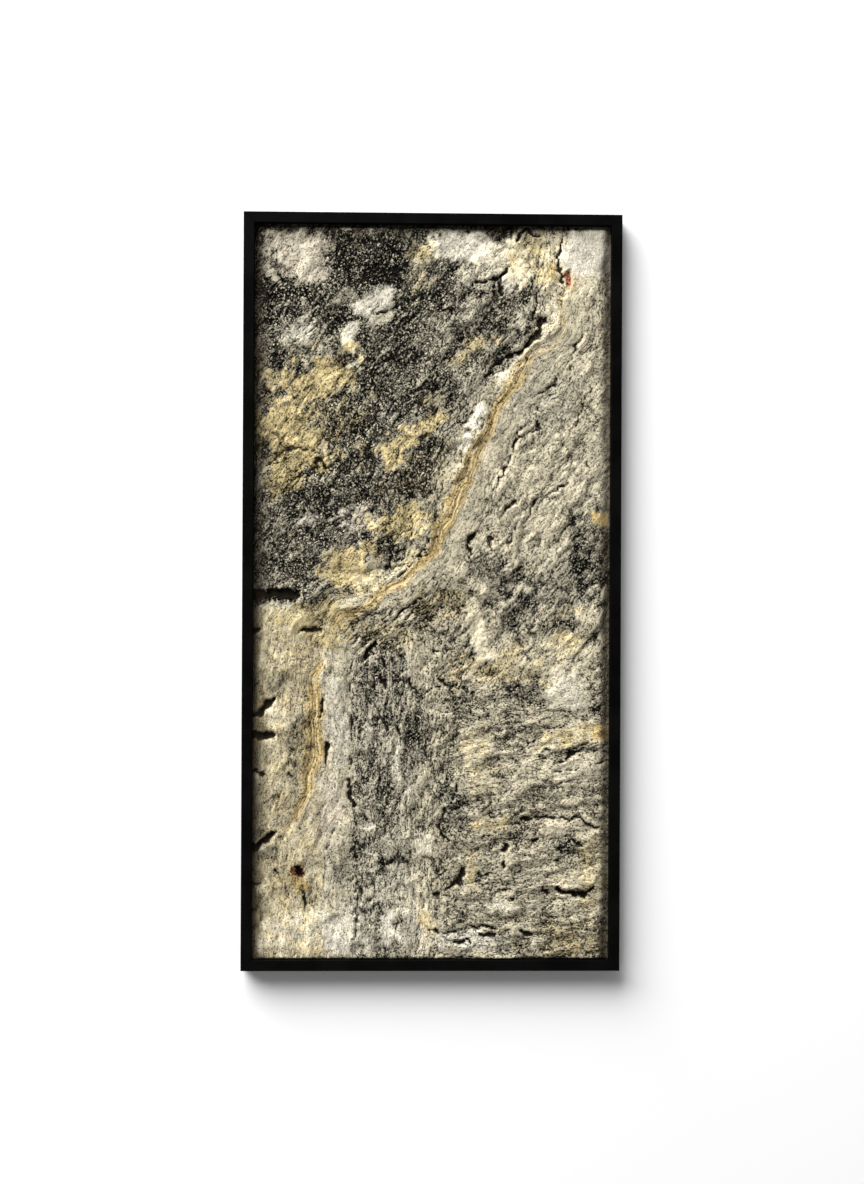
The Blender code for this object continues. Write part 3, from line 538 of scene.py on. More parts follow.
# centre, half sizes, turn, tone shift, hue, how much of it, how smooth
paintLook["patches"] = {
    "pink corner": (12, 197, 9.5, 7.5, 0, 0.28, "pink", 0.8, 0.35),
    "white facet": (34, 184.5, 7.4, 3.3, 38, 0.25, "white", 1, 0.5),
    "cream facet": (35, 179.3, 5.2, 1.6, 38, 0.22, "cream", 1, 0.5),
    "white chip": (27, 175.5, 3.6, 2.2, 50, 0.28, "white", 1, 0.4),
    "chip foot": (25.6, 171.2, 3.8, 1.7, 15, 0.22, "ochre", 0.6, 0.4),
    "small chip": (26.6, 167.2, 2.8, 1, 25, 0.3, "white", 0.8, 0.5),
    "round lump": (26.3, 185.3, 3.2, 2.6, 0, 0.16, "grey", 0.8, 0.5),
    "speckled white": (12.5, 177, 6.5, 4.2, 0, 0.2, "white", 0.6, 0),
    "cream lump": (47, 197.8, 5, 3.6, 30, 0.16, "ochre", 0.5, 0.2),
    "white top": (57.5, 200, 9, 4.2, 0, 0.4, "white", 0.8, 0.4),
    "streaked top": (66, 195, 9, 5.5, 25, 0.28, "grey", 0.7, 0.3),
    "yellow top": (79, 196.5, 8.5, 8.5, 0, 0.3, "ochre", 0.5, 0.2),
    "brown top": (84, 197, 1.6, 7, 0, -0.16, "gold", 0.5, 0),
    "top gap": (73, 190, 5, 2.5, 20, 0.22, "white", 0.5, 0.2),
    "pale corner": (93.5, 198.5, 7, 7.5, 0, 0.12, "white", 0.7, 0.95),
    "pale corner foot": (91.5, 190, 4, 6, 10, 0.1, "cream", 0.7, 0.6),
    "black top": (31, 196, 11, 9, 0, -0.1, "grey", 0.8, 0),
    "black band": (11, 186, 10, 2, 3, -0.17, "grey", 0.8, 0),
    "black spot": (23, 178.5, 3.4, 1.6, 50, -0.24, "grey", 0.5, 0.3),
    "black patch": (32.5, 163, 4.2, 2, 20, -0.12, "grey", 0.5, 0),
    "black middle": (22, 130.5, 13, 5, 0, -0.07, "grey", 0.8, 0),
    "black strip": (30, 149, 6.5, 3.5, 0, -0.06, "grey", 0.8, 0),
    "pale charcoal": (10, 113.5, 16, 8.5, 0, 0.05, "grey", 0.8, 0),
    "black corner": (11.5, 110, 10, 3.2, 0, -0.1, "grey", 0.9, 0),
    "dark star": (71, 184, 4.5, 2.2, 15, -0.09, "grey", 0.8, 0),
    "dark star 2": (61.5, 188, 3.5, 2.8, 0, -0.12, "grey", 0.8, 0),
    "dark top middle": (52, 191.5, 5, 2.5, 0, -0.02, "grey", 0.8, 0),
    "grey field": (61, 177, 15, 10, 20, 0.06, "grey", 1, 0),
    "grey spots": (29, 123.5, 7, 4.2, 0, 0.22, "white", 0.9, 0),
    "grey spots 2": (15, 123, 3.4, 2.5, 0, 0.22, "white", 0.8, 0),
    "grey spots 3": (37.5, 152, 2.6, 2.2, 0, 0.22, "white", 0.8, 0),
    "ochre haze": (14, 152, 21, 20, 20, 0.03, "ochre", 0.42, 0),
    "ochre haze 2": (45, 133, 14, 24, -38, 0.02, "ochre", 0.3, 0),
    "ochre haze 3": (30, 106, 12, 7, 20, 0, "ochre", 0.45, 0),
    "ochre slope": (17, 161, 12.5, 6.4, 12, 0.22, "ochre", 0.9, 0.1),
    "ochre shoulder": (21, 166.5, 7, 3, 10, 0.12, "ochre", 0.7, 0.1),
    "ochre left": (7, 150, 10, 7, 10, 0.16, "ochre", 1, 0.1),
    "ochre middle": (12, 142, 9.5, 7.5, 0, 0.13, "ochre", 1, 0.1),
    "ochre low": (8.5, 134.5, 7, 4.6, 20, 0.07, "ochre", 0.9, 0.1),
    "ochre islet": (22.5, 141.5, 4.5, 3, 0, 0.18, "ochre", 0.6, 0),
    "ochre block": (41, 143.5, 7.5, 4.2, 34, 0.26, "ochre", 0.95, 0),
    "ochre block top": (49, 149.5, 5.5, 2.8, 34, 0.15, "ochre", 0.8, 0),
    "ochre field": (41.5, 122.5, 8, 5.6, 26, 0.18, "ochre", 0.95, 0),
    "ochre tip": (31.5, 115, 3.2, 2, 30, 0.18, "ochre", 0.8, 0.1),
    "bright ochre": (25, 109.5, 6.2, 6.2, 20, 0.27, "ochre", 0.85, 0.2),
    "ochre neck": (33, 108, 6, 4, 20, 0.18, "ochre", 0.45, 0.2),
    "ochre skirt": (18, 95, 11, 8, 0, 0, "ochre", 0.62, 0.1),
    "ochre streak": (57, 168, 4.5, 2, 20, 0.12, "ochre", 0.5, 0),
    "ochre streak 2": (64, 173, 6, 2.2, 25, 0.12, "ochre", 0.5, 0),
    "ochre streak 3": (50, 157, 4.5, 2, 20, 0.14, "ochre", 0.4, 0),
    "vein edge": (58.6, 145.5, 2.6, 3.4, 0, 0.24, "white", 0.8, 0.2),
    "vein edge top": (62.5, 152.5, 5, 2.2, 45, 0.22, "white", 0.8, 0.2),
    "vein spot": (70.5, 163.5, 2.4, 1.4, 50, 0.2, "white", 0.7, 0.3),
    "vein edge high": (84, 183, 1.2, 4, -14, 0.12, "white", 0.6, 0.1),
    "rough edge": (44, 112, 6.5, 3.4, 45, 0.03, "ochre", 0.45, 0),
    "cream face": (7.5, 97.5, 7.5, 3, 0, 0.03, "cream", 1, 0.5),
    "cream belly": (7, 86, 8, 8, 0, 0.04, "ochre", 0.4, 0.35),
    "pale block": (7.5, 68, 4, 4.6, 20, 0.08, "white", 0.4, 0.6),
    "mottled block": (13, 60, 3.2, 10, 0, -0.12, "ochre", 0.4, 0),
    "gold left": (4, 56, 5, 4, 0, 0.02, "ochre", 0.45, 0.2),
    "cream low": (6, 43, 6.5, 8, 0, -0.02, "ochre", 0.4, 0.3),
    "white cushion": (24, 67, 3.8, 14, 3, 0.06, "white", 0.5, 0.6),
    "white cushion low": (19.8, 42.5, 5.6, 13, 0, 0.06, "pink", 0.6, 0.55),
    "sand strip": (11, 33, 5.5, 9, 0, 0.02, "ochre", 0.35, 0.4),
    "amber": (13.5, 21.5, 3.2, 2.6, 0, -0.04, "gold", 0.9, 0.2),
    "white bottom": (16.5, 8, 15, 7, 0, 0.17, "white", 0.7, 0.4),
    "grey low left": (24, 24, 4.5, 6, 0, -0.05, "grey", 0.8, 0),
    "black column": (33.5, 80, 4.5, 10, 0, -0.07, "grey", 0.9, 0),
    "pale column": (44, 50, 5, 9, 0, 0.04, "white", 0.3, 0.2),
    "column line": (41, 55, 0.8, 7, 3, 0.18, "white", 0.6, 0.2),
    "column line 2": (32.8, 66, 0.7, 5, 0, 0.14, "white", 0.5, 0.2),
    "white patch": (38.5, 9.5, 2.8, 5.2, 0, 0.3, "white", 0.9, 0.4),
    "white chip low": (32, 37.5, 2.4, 1.6, 0, 0.24, "white", 0.6, 0.3),
    "low streaks": (44, 22, 4.2, 8, -3, 0.12, "white", 0.3, 0.1),
    "pale facets": (47.5, 32.5, 2.8, 3.2, 0, 0.2, "white", 0.4, 0.3),
    "low yellow": (49, 10.5, 2.6, 5.5, 25, 0.12, "ochre", 0.5, 0.1),
    "pale strip": (63.3, 90.5, 2.9, 8.5, 8, 0.24, "cream", 0.8, 0.4),
    "yellow streaks": (54.5, 98, 6.5, 4.6, 30, 0, "ochre", 0.42, 0.1),
    "strip top": (63.5, 105.5, 2.2, 2.2, 0, 0.08, "cream", 0.6, 0.2),
    "dark step": (70, 105, 7.5, 6.5, 30, -0.13, "grey", 0.8, 0.1),
    "dark step foot": (73.5, 98, 6.5, 5, 20, -0.07, "grey", 0.9, 0.1),
    "dark right": (94.5, 116, 6, 12.5, 0, -0.22, "grey", 0.7, 0),
    "grey right": (87, 105.5, 13, 9, 10, -0.13, "grey", 0.7, 0),
    "cream right": (86, 141, 7.5, 12, -15, 0.04, "cream", 1, 0.3),
    "cream middle": (81.5, 121, 5, 5, 0, 0.05, "cream", 1, 0.3),
    "yellow cushion": (86.5, 88, 7.5, 4.5, 0, 0.17, "ochre", 0.42, 0.2),
    "yellow middle": (71, 86, 7.5, 3, 8, 0.1, "ochre", 0.42, 0.1),
    "yellow line": (88, 97.5, 6, 1.8, 5, 0.08, "ochre", 0.4, 0.1),
    "dark ledge": (75, 75.5, 7, 4.5, 8, -0.1, "grey", 0.8, 0),
    "dark shelf": (84, 93, 7.5, 2.2, 5, -0.12, "grey", 0.5, 0),
    "pale cushion": (89, 75.5, 7, 6.5, 0, 0.17, "white", 0.5, 0.5),
    "yellow fill": (62.5, 60.5, 5.5, 5.5, 20, 0.05, "ochre", 0.36, 0.2),
    "gold band": (90, 62.8, 11, 3, 10, 0.2, "ochre", 0.5, 0.2),
    "gold corner": (98, 63.5, 3.5, 2.5, 0, 0, "gold", 0.7, 0.2),
    "layered block": (91, 53, 9, 4, 6, 0.14, "white", 0.3, 0.35),
    "dark run": (56, 43, 4.6, 8.5, 10, -0.07, "grey", 0.8, 0),
    "golden bed": (67, 38, 5.5, 2.2, 15, 0.08, "ochre", 0.5, 0.1),
    "pale block right": (84.5, 37, 3.8, 2.2, 0, 0.14, "cream", 1, 0.3),
    "olive side": (95.5, 25, 5, 13, 0, 0.06, "ochre", 0.42, 0.2),
    "dark wedge": (88.5, 31.5, 5.5, 3.4, 0, -0.2, "grey", 0.6, 0),
    "pale yellow": (61.8, 24, 2.2, 5.2, 0, 0.12, "ochre", 0.5, 0.2),
    "right boss": (90.5, 22.6, 6.8, 2.8, 10, 0.12, "ochre", 0.3, 0.3),
    "low boss": (71, 15.2, 4, 1.7, -8, 0.2, "white", 0.5, 0.4),
    "low boss 2": (79.5, 15.3, 2.2, 2, 0, 0.16, "white", 0.4, 0.3),
    "white crumb": (60.5, 5.5, 10, 3.6, 0, 0.07, "white", 0.8, 0),
    "yellow low right": (88.5, 7, 7, 3.4, 10, 0.02, "ochre", 0.5, 0.1),
    "black shelf": (36, 191, 6.5, 4.5, 0, -0.09, "grey", 0.6, 0),
    "pale slope top": (46, 190.5, 6.5, 5, 20, 0.11, "ochre", 0.35, 0),
    "pale star": (68, 181.5, 10, 4.5, 0, 0.07, "grey", 0.5, 0),
    "pale shoulder": (13, 171.5, 16, 4.5, 0, 0.07, "grey", 0.6, 0),
    "dark slope": (73, 171.5, 6.5, 3, 45, -0.13, "grey", 0.6, 0),
    "pale bank": (57.5, 156, 9, 5.5, 60, 0.11, "grey", 0.6, 0.1),
    "right shade": (81, 158, 11, 12, 0, -0.05, "grey", 0.5, 0),
    "dark bend": (52, 100.5, 10, 5, 10, -0.15, "ochre", 0.4, 0),
    "dark landing": (65, 110.5, 5.5, 6, 20, -0.11, "grey", 0.5, 0),
    "overhang shade": (5.5, 101.8, 8.5, 2.6, -3, -0.34, "grey", 0.8, 0),
    "column head": (36, 91.5, 13, 5, 0, -0.08, "ochre", 0.4, 0),
    "pale middle": (70, 81, 20, 5.5, 0, 0.08, "ochre", 0.4, 0),
    "column shade": (45.5, 61, 4, 14, 0, -0.09, "grey", 0.5, 0),
    "pale slope": (64, 53, 6.5, 10, 0, 0.1, "ochre", 0.3, 0),
    "left foot shade": (3.5, 31, 5, 5, 0, -0.13, "ochre", 0.3, 0),
    "pale foot": (35, 20, 5, 6, 0, 0.11, "white", 0.3, 0),
    "pale low side": (26, 12, 4.5, 5, 0, 0.12, "white", 0.5, 0.2),
    "pale low column": (45.5, 10.5, 5, 6.5, 0, 0.17, "white", 0.5, 0.1),
    "low right shade": (88, 6, 13, 7, 0, -0.08, "ochre", 0.4, 0),
    "yellow spot": (97, 124, 3, 2, 0, 0.36, "gold", 0.9, 0.6),
    "rust spot": (88, 191.3, 0.8, 2.2, 0, -0.34, "rust", 1, 0),
    "rust spot 2": (24.2, 167.8, 1.8, 0.9, 0, -0.1, "rust", 0.5, 0.3),
    "rust hole": (13.8, 24.9, 2, 1.9, 0, -0.22, "rust", 0.7, 0.3),
}


def paintRock(field, u, v):
    # Tone = zone tones + shifts of ovals + painted shade in the hollows and painted highlight on the
    # ridges; each hue = the greatest of its ovals' shares; painted shade also darkens the creases and the
    # frame's edges.
    look = paintLook
    tones = look["tones"]
    beside = field["beside"]
    size, rag = look["paintRag"]
    paintU = field["raggedU"] + rag * roughNoise(u / size, v / size, 171, 2)
    paintV = field["raggedV"] + rag * roughNoise(u / size, v / size, 181, 2)
    fray = roughNoise(u / 7, v / 7, 231, 3) + roughNoise(u / 2.4, v / 2.4, 235, 2)
    fray = look["fray"] * (fray + field["ridges"])
    right = ease(0, 1, beside)
    lowLeft = (1 - ease(27.2, 28.4, field["raggedU"])) * (1 - field["top"])
    lowRight = ease(42, 54, paintU) * (1 - ease(86, 106, paintV))
    tone = tones["cream"] + 0 * u
    for name, share in (
        ("charcoal", field["charcoal"]), ("left", lowLeft), ("lower", lowRight),
        ("column", field["column"]),
    ):
        tone += share * (tones[name] - tone)
    hues = {name: np.zeros(u.shape) for name in look["hues"]}
    hues["grey"] += np.maximum(0.8 * field["charcoal"], 0.7 * field["column"])
    hues["ochre"] += 0.40 * lowLeft * (1 - ease(18, 22, paintU))
    smooth = 0.45 * lowLeft + 0.25 * field["top"] * right
    for *shape, shift, hue, share, calm in look["patches"].values():
        low, high = look["patchEdge"]
        soft = (low + 0.5 * calm, high - 0.25 * calm)
        spot = oval(paintU, paintV, *shape, soft, (1 - 0.7 * calm) * fray)
        tone += shift * spot
        hues[hue] = np.maximum(hues[hue], share * spot)
        smooth = np.maximum(smooth, calm * spot)
    smooth = np.maximum(smooth, 0.55 * field["band"] * ease(100, 112, v))

    # The vein: wider in its bend and at both ends, faint across the shelf and towards the top
    half = 1 + 0 * v
    for amount, low, high in look["veinWider"]:
        half += amount * ease(*low, v) * (1 - ease(*high, v))
    vein = 1 - ease(0.3, 1.6, np.abs(beside + 0.6 * field["ridges"]) / (half * look["veinWidth"]))
    for amount, low, high in look["veinFades"]:
        vein *= 1 - amount * ease(*low, v) * (1 - ease(*high, v))

    # Painted shade darkens the hollows and painted highlight lightens the ridges
    height = field["height"] + field["breaks"]
    for width, amount in look["cavityShading"]:
        hollow = np.clip(height - blurred(height, width * look["cellsPerUnit"]), -0.3, 0.3)
        tone += amount * (1 - 0.6 * smooth) * hollow
    tone += 0.07 * roughNoise(paintU / 10, paintV / 10, 191, 2) * (1 - 0.6 * smooth)
    # Painted shade along the creases: their tone is lowered, and they join the cracks' painted shade
    creases = field["creases"] * (1 - 0.85 * smooth) * (1 - 0.7 * vein)
    creases *= 1 - 0.3 * field["level"]
    tone -= look["creaseShadeAmount"] * creases
    # Painted shade along the frame's edges: darkest at the border, where the lip and the rolled rim put
    # the rock in shadow
    stain = 0 * u
    wide, tall = reliefLook["fieldWidth"], reliefLook["fieldHeight"]
    for distance, (reach, most) in zip((u, wide - u, v, tall - v), look["edgeShadeReach"]):
        stain = np.maximum(stain, most * (1 - ease(-0.5, reach, distance + 0.8 * field["wanderU"])))
    return {
        "tone": tone, "calm": smooth, "stain": stain, "vein": vein,
        "crevice": np.maximum(field["crevice"], look["creaseShadeInCracks"] * creases),
        "levelBeds": field["level"], "uprightBeds": field["upright"],
        "nearVein": field["nearVein"], **{name + "Hue": share for name, share in hues.items()},
    }


def gridFaces(number):
    # Squares of a grid of point numbers, each going round the same way.
    corners = [number[:-1, :-1], number[:-1, 1:], number[1:, 1:], number[1:, :-1]]
    return np.stack(corners, axis=-1).reshape(-1, 4)


def makeRock(finish):
    # Grid over the opening with a flat rim, walls straight back from its border, and a flat back.
    look = reliefLook
    low, high = (np.array(corner) for corner in cadBox)
    width = high[0] - low[0] - 2 * look["faceWidth"]
    tall = high[2] - low[2] - 2 * look["faceWidth"]
    columns, rows = round(width / look["step"]), round(tall / look["step"])
    u, v = np.meshgrid(
        np.linspace(0, look["fieldWidth"], columns), np.linspace(0, look["fieldHeight"], rows)
    )
    field = rockField(u, v)
    field = addBreaks(field, u, v)
    paint = paintRock(field, u, v)
    height = field["height"] + (1 - 0.85 * paint["calm"]) * field["breaks"]
    rolled = ease(0, look["rimRoll"], field["edge"] + 0.5 * field["wanderU"] * ease(0, 1, field["edge"]))
    height = np.pad(np.clip(height, look["lowest"], 1.0) * rolled, 1)

    lap = look["lap"]
    x = np.linspace(low[0] + look["faceWidth"], high[0] - look["faceWidth"], columns)
    z = np.linspace(low[2] + look["faceWidth"], high[2] - look["faceWidth"], rows)
    x = np.concatenate([[x[0] - lap], x, [x[-1] + lap]])
    z = np.concatenate([[z[0] - lap], z, [z[-1] + lap]])
    x, z = np.meshgrid(x, z)
    y = low[1] + look["rimDepth"] - height * look["room"]
    front = np.stack([x, y, z], axis=-1).reshape(-1, 3)
    number = np.arange(x.size).reshape(x.shape)
    border = np.concatenate([number[0, :-1], number[:-1, -1], number[-1, :0:-1], number[:0:-1, 0]])
    back = front[border] * (1, 0, 1) + (0, low[1] + look["rimDepth"] + look["slabEdge"], 0)
    middle = back.mean(axis=0, keepdims=True)
    ring = len(front) + np.arange(len(border))
    after, ringAfter = np.roll(border, -1), np.roll(ring, -1)
    walls = np.stack([after, border, ring, ringAfter], axis=-1)
    fan = np.stack([ringAfter, ring, np.full(len(ring), ring[-1] + 1)], axis=-1)
    points = np.concatenate([front, back, middle])
    faces = gridFaces(number).tolist() + walls.tolist() + fan.tolist()
    mesh = bpy.data.meshes.new("rock_relief")
    mesh.from_pydata(points.tolist(), [], faces)
    for name, values in paint.items():
        values = np.concatenate([np.pad(values, 1, mode="edge").ravel(), np.zeros(len(back) + 1)])
        mesh.attributes.new(name, "FLOAT", "POINT").data.foreach_set("value", values)
    path = np.zeros((len(points), 3))
    unit = width / look["fieldWidth"]
    path[: len(front), 0] = np.pad(field["run"], 1, mode="edge").ravel() * unit
    path[: len(front), 2] = np.pad(field["beside"], 1, mode="edge").ravel() * unit
    mesh.attributes.new("veinPath", "FLOAT_VECTOR", "POINT").data.foreach_set("vector", path.ravel())

    # The map OFBake: the front fills most of it, the back and walls a strip
    corner = np.empty(len(mesh.loops), np.int32)
    mesh.loops.foreach_get("vertex_index", corner)
    share = (points[corner] - points.min(axis=0)) / np.ptp(points, axis=0)
    isFront = np.arange(len(corner)) < 4 * len(gridFaces(number))
    spot = np.where(
        isFront[:, None], share[:, [0, 2]] * (0.95, 0.998), share[:, [0, 2]] * (0.03, 0.998) + (0.96, 0)
    )
    mesh.uv_layers.new(name="OFBake").data.foreach_set("uv", (spot + 0.001).ravel())
    mesh.shade_smooth()
    mesh.materials.append(finish)
    rock = bpy.data.objects.new("rock_relief", mesh)
    bpy.context.scene.collection.objects.link(rock)
    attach(rock, "root")
    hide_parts("rock_relief_slab")
    print("rock relief:", len(faces), "faces")


def rockFinish():
    # Brightness = tone + contrast times grain; its colour = the hues' mix, with painted shade darkening
    # the crevices and the frame's edges.
    look = paintLook
    material, start, shader = newFinish("cast rock", {"Specular IOR Level": 0.06})
    place = start.object()
    waver = start.grain(place, 0.03, 2.0, out="Color")
    waver = start.add("VectorMath", {"operation": "MULTIPLY_ADD"}, {0: waver, 1: (0.008,) * 3, 2: place})
    path = start.painted("veinPath", "Vector")
    nearVein = start.painted("nearVein")

    def alongBeds(size, detail, stretches, rough):
        # Noise drawn out along the beds of each zone, and along the vein beside it.
        diagonal, level, upright = (
            start.grain(waver, size, detail, stretch, degrees, rough)
            for stretch, degrees in zip(stretches, look["turns"])
        )
        found = diagonal.toward(start.painted("levelBeds"), level)
        found = found.toward(start.painted("uprightBeds"), upright)
        return found.toward(nearVein, start.grain(path, size, detail, stretches[3], rough=rough))

    streaks = alongBeds(look["grainSize"], 2.0, look["grainStretch"], 0.7)
    wrinkles = alongBeds(look["seamSize"], 3.0, look["seamStretch"], 0.6) - 0.5
    seams = 1 - wrinkles.math("ABSOLUTE", wrinkles).rise(0.2 * look["seamWidth"], look["seamWidth"])
    cells = start.add("TexVoronoi", {}, {"Vector": waver, "Scale": 1 / look["crystalSize"]}, "Color") + 0.0
    clumps = start.grain(waver, look["clumpSize"], 3.0, rough=0.7)
    patches = start.grain(place, look["patchSize"], 3.0)
    grain = 0.54 * streaks + 0.40 * cells + 0.06 * clumps

    # Dark ground with light flecks, light ground with dark pits
    spread = look["grainSpread"]
    pits = grain.rise(0.5 - 2.0 * spread, 0.5 + 0.1 * spread)
    flecks = grain.rise(0.5 - 0.5 * spread, 0.5 + 1.7 * spread)
    calm = start.painted("calm")
    tone = start.painted("tone") + 0.20 * (patches - 0.5) + 0.10 * (clumps - 0.5)
    seams = seams * (1 - 0.7 * calm) * patches.rise(0.30, 0.55) * (1 - 0.6 * start.painted("vein"))
    tone = tone - look["seamTone"] * seams
    light = tone.rise(0.30, 0.60)
    low, high = look["contrast"]
    contrast = (high - (high - low) * calm) * (look["darkContrast"] - (look["darkContrast"] - 1) * light)
    sharp = flecks.toward(light, pits)
    bright = tone + contrast * (sharp - 0.36 - 0.37 * light)
    threads = start.grain(path, look["threadSize"], 3.0, look["threadStretch"], rough=0.6)
    threads = threads.rise(0.34, 0.66)
    vein = start.painted("vein")
    vein = vein.rise(0.0, 0.5) * (vein + 0.8 * (threads - 0.5)).rise(0.1, 0.8)
    bright = bright + vein * (0.36 * threads - 0.26)
    bright = bright.math("MINIMUM", bright.math("MAXIMUM", bright, 0.03), 0.97)
    linear = look["lightGain"] * bright ** 2.2

    def hueColour(name):
        return (*[part**2.2 for part in look["hues"][name]], 1)

    shift = 0.8 * (patches - 0.5) + 0.6 * (clumps - 0.5) + 0.3 * (cells - 0.5)
    colour = hueColour("cream")
    for name in ("grey", "pink", "white", "ochre", "gold", "rust"):
        share = start.painted(name + "Hue") + shift
        if name == "gold":
            share = share + 1.1 * vein * (1.25 - 0.9 * threads)
        colour = start.colours(share.rise(0.15, 0.75), colour, hueColour(name))
    colour = start.add("VectorMath", {"operation": "SCALE"}, {0: colour, "Scale": linear})
    # Painted shade: the cracks and creases darkened to near black
    crevice = start.painted("crevice") + 1.1 * (clumps - 0.5) + 0.9 * (grain - 0.5)
    crevice = crevice.rise(0.38, 0.62)
    # Painted shade along the frame's edges, broken up by the patches and the grain
    stain = (start.painted("stain") + 0.9 * (patches - 0.5) + 0.6 * (grain - 0.5)).rise(0.12, 0.95)
    colour = start.colours(crevice * 0.93, colour, (0.012, 0.009, 0.006, 1))
    colour = start.colours(stain * 0.72, colour, (0.020, 0.014, 0.008, 1))
    height = (0.7 * streaks + 0.3 * cells + 1.7 * wrinkles) * (1 - 0.6 * calm)
    height = height + (0.5 + 0.6 * calm) * clumps - 0.5 * crevice - 0.4 * seams
    start.feed(shader, {
        "Base Color": colour,
        "Roughness": 0.90 - 0.10 * sharp,
        "Normal": start.bump(height, look["bumpDepth"], 1.0),
    })
    return material


frameLook = {
    "lacquer": (0.0011, 0.0011, 0.0010, 1), "lightLacquer": (0.0022, 0.0021, 0.0020, 1),
    "sheen": (0.34, 0.5), "grainSize": 0.0012, "grainDepth": 0.00005, "cloudSize": 0.05,
}


def lacquerFinish():
    # Black with a faint cloud of lighter black; roughness and bump follow a fine long grain.
    look = frameLook
    material, start, shader = newFinish("satin black lacquer", {"Specular IOR Level": 0.035})
    place = start.object()
    pores = start.grain(place, look["grainSize"], 3.0)
    cloud = start.grain(place, look["cloudSize"], 3.0)
    colour = start.colours(cloud.rise(0.35, 0.7), look["lacquer"], look["lightLacquer"])
    low, high = look["sheen"]
    start.feed(shader, {
        "Base Color": colour,
        "Roughness": low + (high - low) * cloud.rise(0.3, 0.7) + 0.05 * pores,
        "Normal": start.bump(pores, look["grainDepth"]),
    })
    return material


boardLook = {
    "dark": (0.115, 0.062, 0.030, 1), "light": (0.235, 0.140, 0.075, 1),
    "fibreSize": 0.0016, "fibreStretch": 7.0, "fibreTurn": 25, "fibreDepth": 0.0002, "mottleSize": 0.02,
}


def boardFinish():
    # Brown hardboard: fibres and mottle mixed into a share between two browns.
    look = boardLook
    material, start, shader = newFinish("hardboard", {"Specular IOR Level": 0.3})
    place = start.object()
    fibres = start.grain(place, look["fibreSize"], 4.0, look["fibreStretch"], look["fibreTurn"])
    mottle = start.grain(place, look["mottleSize"], 3.0)
    share = (0.6 * fibres + 0.4 * mottle).rise(0.36, 0.66)
    colour = start.colours(share, look["dark"], look["light"])
    start.feed(shader, {
        "Base Color": colour,
        "Roughness": 0.62 + 0.25 * mottle,
        "Normal": start.bump(fibres, look["fibreDepth"]),
    })
    return material


railLook = {
    "dull": (0.4, 0.41, 0.42, 1), "bright": (0.52, 0.53, 0.54, 1),
    "lineSize": 0.0006, "lineStretch": 60.0, "lineDepth": 0.00004, "cloudSize": 0.03,
}


def railFinish():
    # Mill aluminium: fine lines drawn along the bar, and soft clouds in its shine.
    look = railLook
    material, start, shader = newFinish("mill aluminium", {"Metallic": 1.0})
    place = start.object()
    lines = start.grain(place, look["lineSize"], 3.0, look["lineStretch"])
    cloud = start.grain(place, look["cloudSize"], 3.0)
    colour = start.colours(cloud.rise(0.3, 0.7), look["dull"], look["bright"])
    start.feed(shader, {
        "Base Color": colour,
        "Roughness": 0.34 + 0.18 * lines + 0.10 * cloud,
        "Normal": start.bump(lines, look["lineDepth"]),
    })
    return material


# Screw heads over the rail's holes, and clips that hold the board in, all in metres
fixingLook = {
    "screws": 5, "screwSpread": 0.36, "screwHeight": 0.014, "railBack": -0.00015, "turns": 24,
    # radius, height above the rail
    "screwHead": [
        (0.0, 0.0), (0.0038, 0.0), (0.0038, 0.0006), (0.0034, 0.0014), (0.0025, 0.0019),
        (0.0014, 0.0019), (0.0012, 0.0008), (0.0, 0.0008),
    ],
    "boardBack": -0.00235, "rebate": 0.0111, "clipWidth": 0.010,
    # distance in from the frame, height above the board
    "clip": [
        (0.0, 0.0), (0.0090, 0.0), (0.0120, 0.0012), (0.0120, 0.0019), (0.0088, 0.0007), (0.0, 0.0007),
    ],
    "sideClips": (0.14, 0.42, 0.66, 0.92), "endClips": (0.25, 0.75),
}


def screwPoints(x):
    # The head's profile turned about a line along Y through its hole.
    look = fixingLook
    radius, rise = np.array(look["screwHead"]).T
    angle = np.linspace(0, 2 * np.pi, look["turns"], endpoint=False)[:, None]
    return np.stack([
        x + radius * np.cos(angle), look["railBack"] + rise + 0 * angle,
        look["screwHeight"] + radius * np.sin(angle),
    ], axis=-1)


def clipPoints(spot, inward, along):
    # The clip's profile at both ends of its width: a run inward, a rise along Y.
    look = fixingLook
    reach, rise = np.array(look["clip"]).T[:, None, :, None]
    across = np.array([-0.5, 0.5])[:, None, None] * look["clipWidth"]
    back = np.array((0, look["boardBack"], 0))
    up = np.array((0, 1, 0))
    return spot + back + reach * np.array(inward) + rise * up + across * np.array(along)


def sweptPiece(name, sweeps, closed, finish):
    # One object of several sweeps, each a block of profiles joined from one to the next.
    mesh = bpy.data.meshes.new(name)
    points, faces, start = [], [], 0
    for sweep in sweeps:
        rows, columns = sweep.shape[:2]
        number = start + np.arange(rows * columns).reshape(rows, columns)
        if closed:
            faces += gridFaces(np.vstack([number, number[:1]])).tolist()
        else:
            faces += gridFaces(np.hstack([number, number[:, :1]])).tolist()
            faces += [number[0].tolist(), number[-1, ::-1].tolist()]
        points.append(sweep.reshape(-1, 3))
        start += rows * columns
    mesh.from_pydata(np.concatenate(points).tolist(), [], faces)
    mesh.materials.append(finish)
    piece = bpy.data.objects.new(name, mesh)
    bpy.context.scene.collection.objects.link(piece)
    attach(piece, "root")
    print(name + ":", len(faces), "faces")


